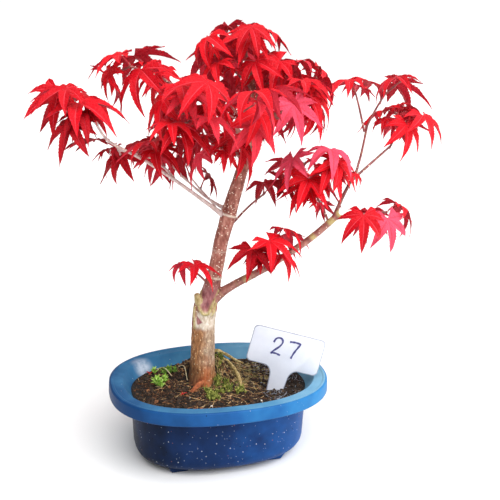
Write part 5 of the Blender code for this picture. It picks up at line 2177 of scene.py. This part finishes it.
# %% The label
LABEL_WIDTH = 60
LABEL_HEAD = 31
LABEL_STAKE = 15
LABEL_STAKE_END = 11
LABEL_LENGTH = 78
LABEL_BURIED = 26
LABEL_THICKNESS = 1.0
LABEL_CORNER = 4
LABEL_NECK = 9
LABEL_POINT = 9
LABEL_FOOT = (42, -19, 55)
LABEL_TURNS = ((-14, "Z"), (-4, "X"), (14, "Y"))
LABEL_BOW = 0.5
EDGE_ROUND = 0.25
EDGE_WORN = 0.6
ARC_POINTS = 9
TIP_SHARE = 0.18
NECK_SHARE = 0.8
STROKE_HALF = 0.72
STROKE_WAVER = 0.12
INK_PROUD = 0.05
DIGIT_STROKES = (
    ((-11.5, 41), (-10.2, 44.6), (-6.6, 45.6), (-4.4, 43.2), (-5.6, 39.2), (-9, 35), (-11.8, 31.6)),
    ((-11.8, 31.6), (-8, 32.2), (-3.6, 31.4)),
    ((1.2, 44.4), (5.5, 44.9), (10.4, 44.6)),
    ((10.4, 44.6), (8.6, 40.6), (6.6, 35.6), (5.4, 30.8)),
)


def label_place():
    place = Matrix.Translation(mm(*LABEL_FOOT))
    for degrees, axis in LABEL_TURNS:
        place = place @ Matrix.Rotation(math.radians(degrees), 4, axis)
    return place


def label_outline():
    """The label's outline about its stake's middle line, with every corner an arc, as points in mm."""
    half, stake, top = LABEL_WIDTH / 2, LABEL_STAKE / 2, LABEL_LENGTH - LABEL_BURIED
    neck = top - LABEL_HEAD
    tip = (TIP_SHARE * LABEL_STAKE_END, -LABEL_BURIED)
    right = [tip, (LABEL_STAKE_END / 2, -LABEL_BURIED + LABEL_POINT), (stake, neck - LABEL_NECK)]
    for step in range(ARC_POINTS):
        turn = math.pi / 2 * step / (ARC_POINTS - 1)
        across = stake + NECK_SHARE * LABEL_NECK * (1 - math.cos(turn))
        right.append((across, neck - LABEL_NECK + LABEL_NECK * math.sin(turn)))
    for centre_z, start in ((neck + LABEL_CORNER, -90), (top - LABEL_CORNER, 0)):
        for step in range(ARC_POINTS):
            turn = math.radians(start + 90 * step / (ARC_POINTS - 1))
            across = half - LABEL_CORNER + LABEL_CORNER * math.cos(turn)
            right.append((across, centre_z + LABEL_CORNER * math.sin(turn)))
    return right + [(-x, z) for x, z in reversed(right)]


def bowed(x, y, z):
    """A point of the label in mm, moved by the sheet's slight bow."""
    return mm(x, y + LABEL_BOW * (x / (LABEL_WIDTH / 2)) ** 2 * max(0.0, z / LABEL_LENGTH), z)


def make_label():
    outline = label_outline()
    middle_z = (LABEL_LENGTH - LABEL_BURIED) / 2
    place = label_place()
    half = LABEL_THICKNESS / 2
    rings = []
    flat = half - EDGE_ROUND
    for y, drawn_in in ((half, EDGE_WORN), (flat, 0), (-flat, 0), (-half, EDGE_WORN)):
        ring = []
        for x, z in outline:
            inner_x = x - math.copysign(drawn_in, x) if abs(x) > drawn_in else x
            inner_z = z - math.copysign(drawn_in, z - middle_z)
            ring.append(place @ bowed(inner_x, y, inner_z))
        rings.append(ring)
    points, faces = loft(rings)
    edge_or_face = [1 if len(face) == 4 else 0 for face in faces]
    label = make_object("label_sheet", points, faces, [SHEET, CUT_EDGE], edge_or_face)
    shade_round(label, 50)
    settle(label, "label", "plant_label")


def pen_stroke(points):
    """A flat ribbon along a smooth line, a little proud of the label's front."""
    place = label_place()
    line = smooth_line([Vector((x, 0, z)) for x, z in points], [1.0] * len(points), 24)
    rings = []
    for step, (point, _) in enumerate(line):
        ahead = line[min(step + 1, len(line) - 1)][0] - line[max(step - 1, 0)][0]
        half_width = STROKE_HALF + STROKE_WAVER * math.sin(0.7 * step + points[0][0])
        beside = Vector((ahead.z, 0, -ahead.x)).normalized() * half_width
        ring = []
        for side, depth in ((-1, 1), (1, 1), (1, -1), (-1, -1)):
            spot = point + beside * side
            ring.append(place @ bowed(spot.x, INK_PROUD * depth - LABEL_THICKNESS / 2, spot.z))
        rings.append(ring)
    return loft(rings)


def make_number():
    number = make_object("pen_number", *gather([pen_stroke(points) for points in DIGIT_STROKES]), [INK])
    settle(number, "label")


make_label()
make_number()
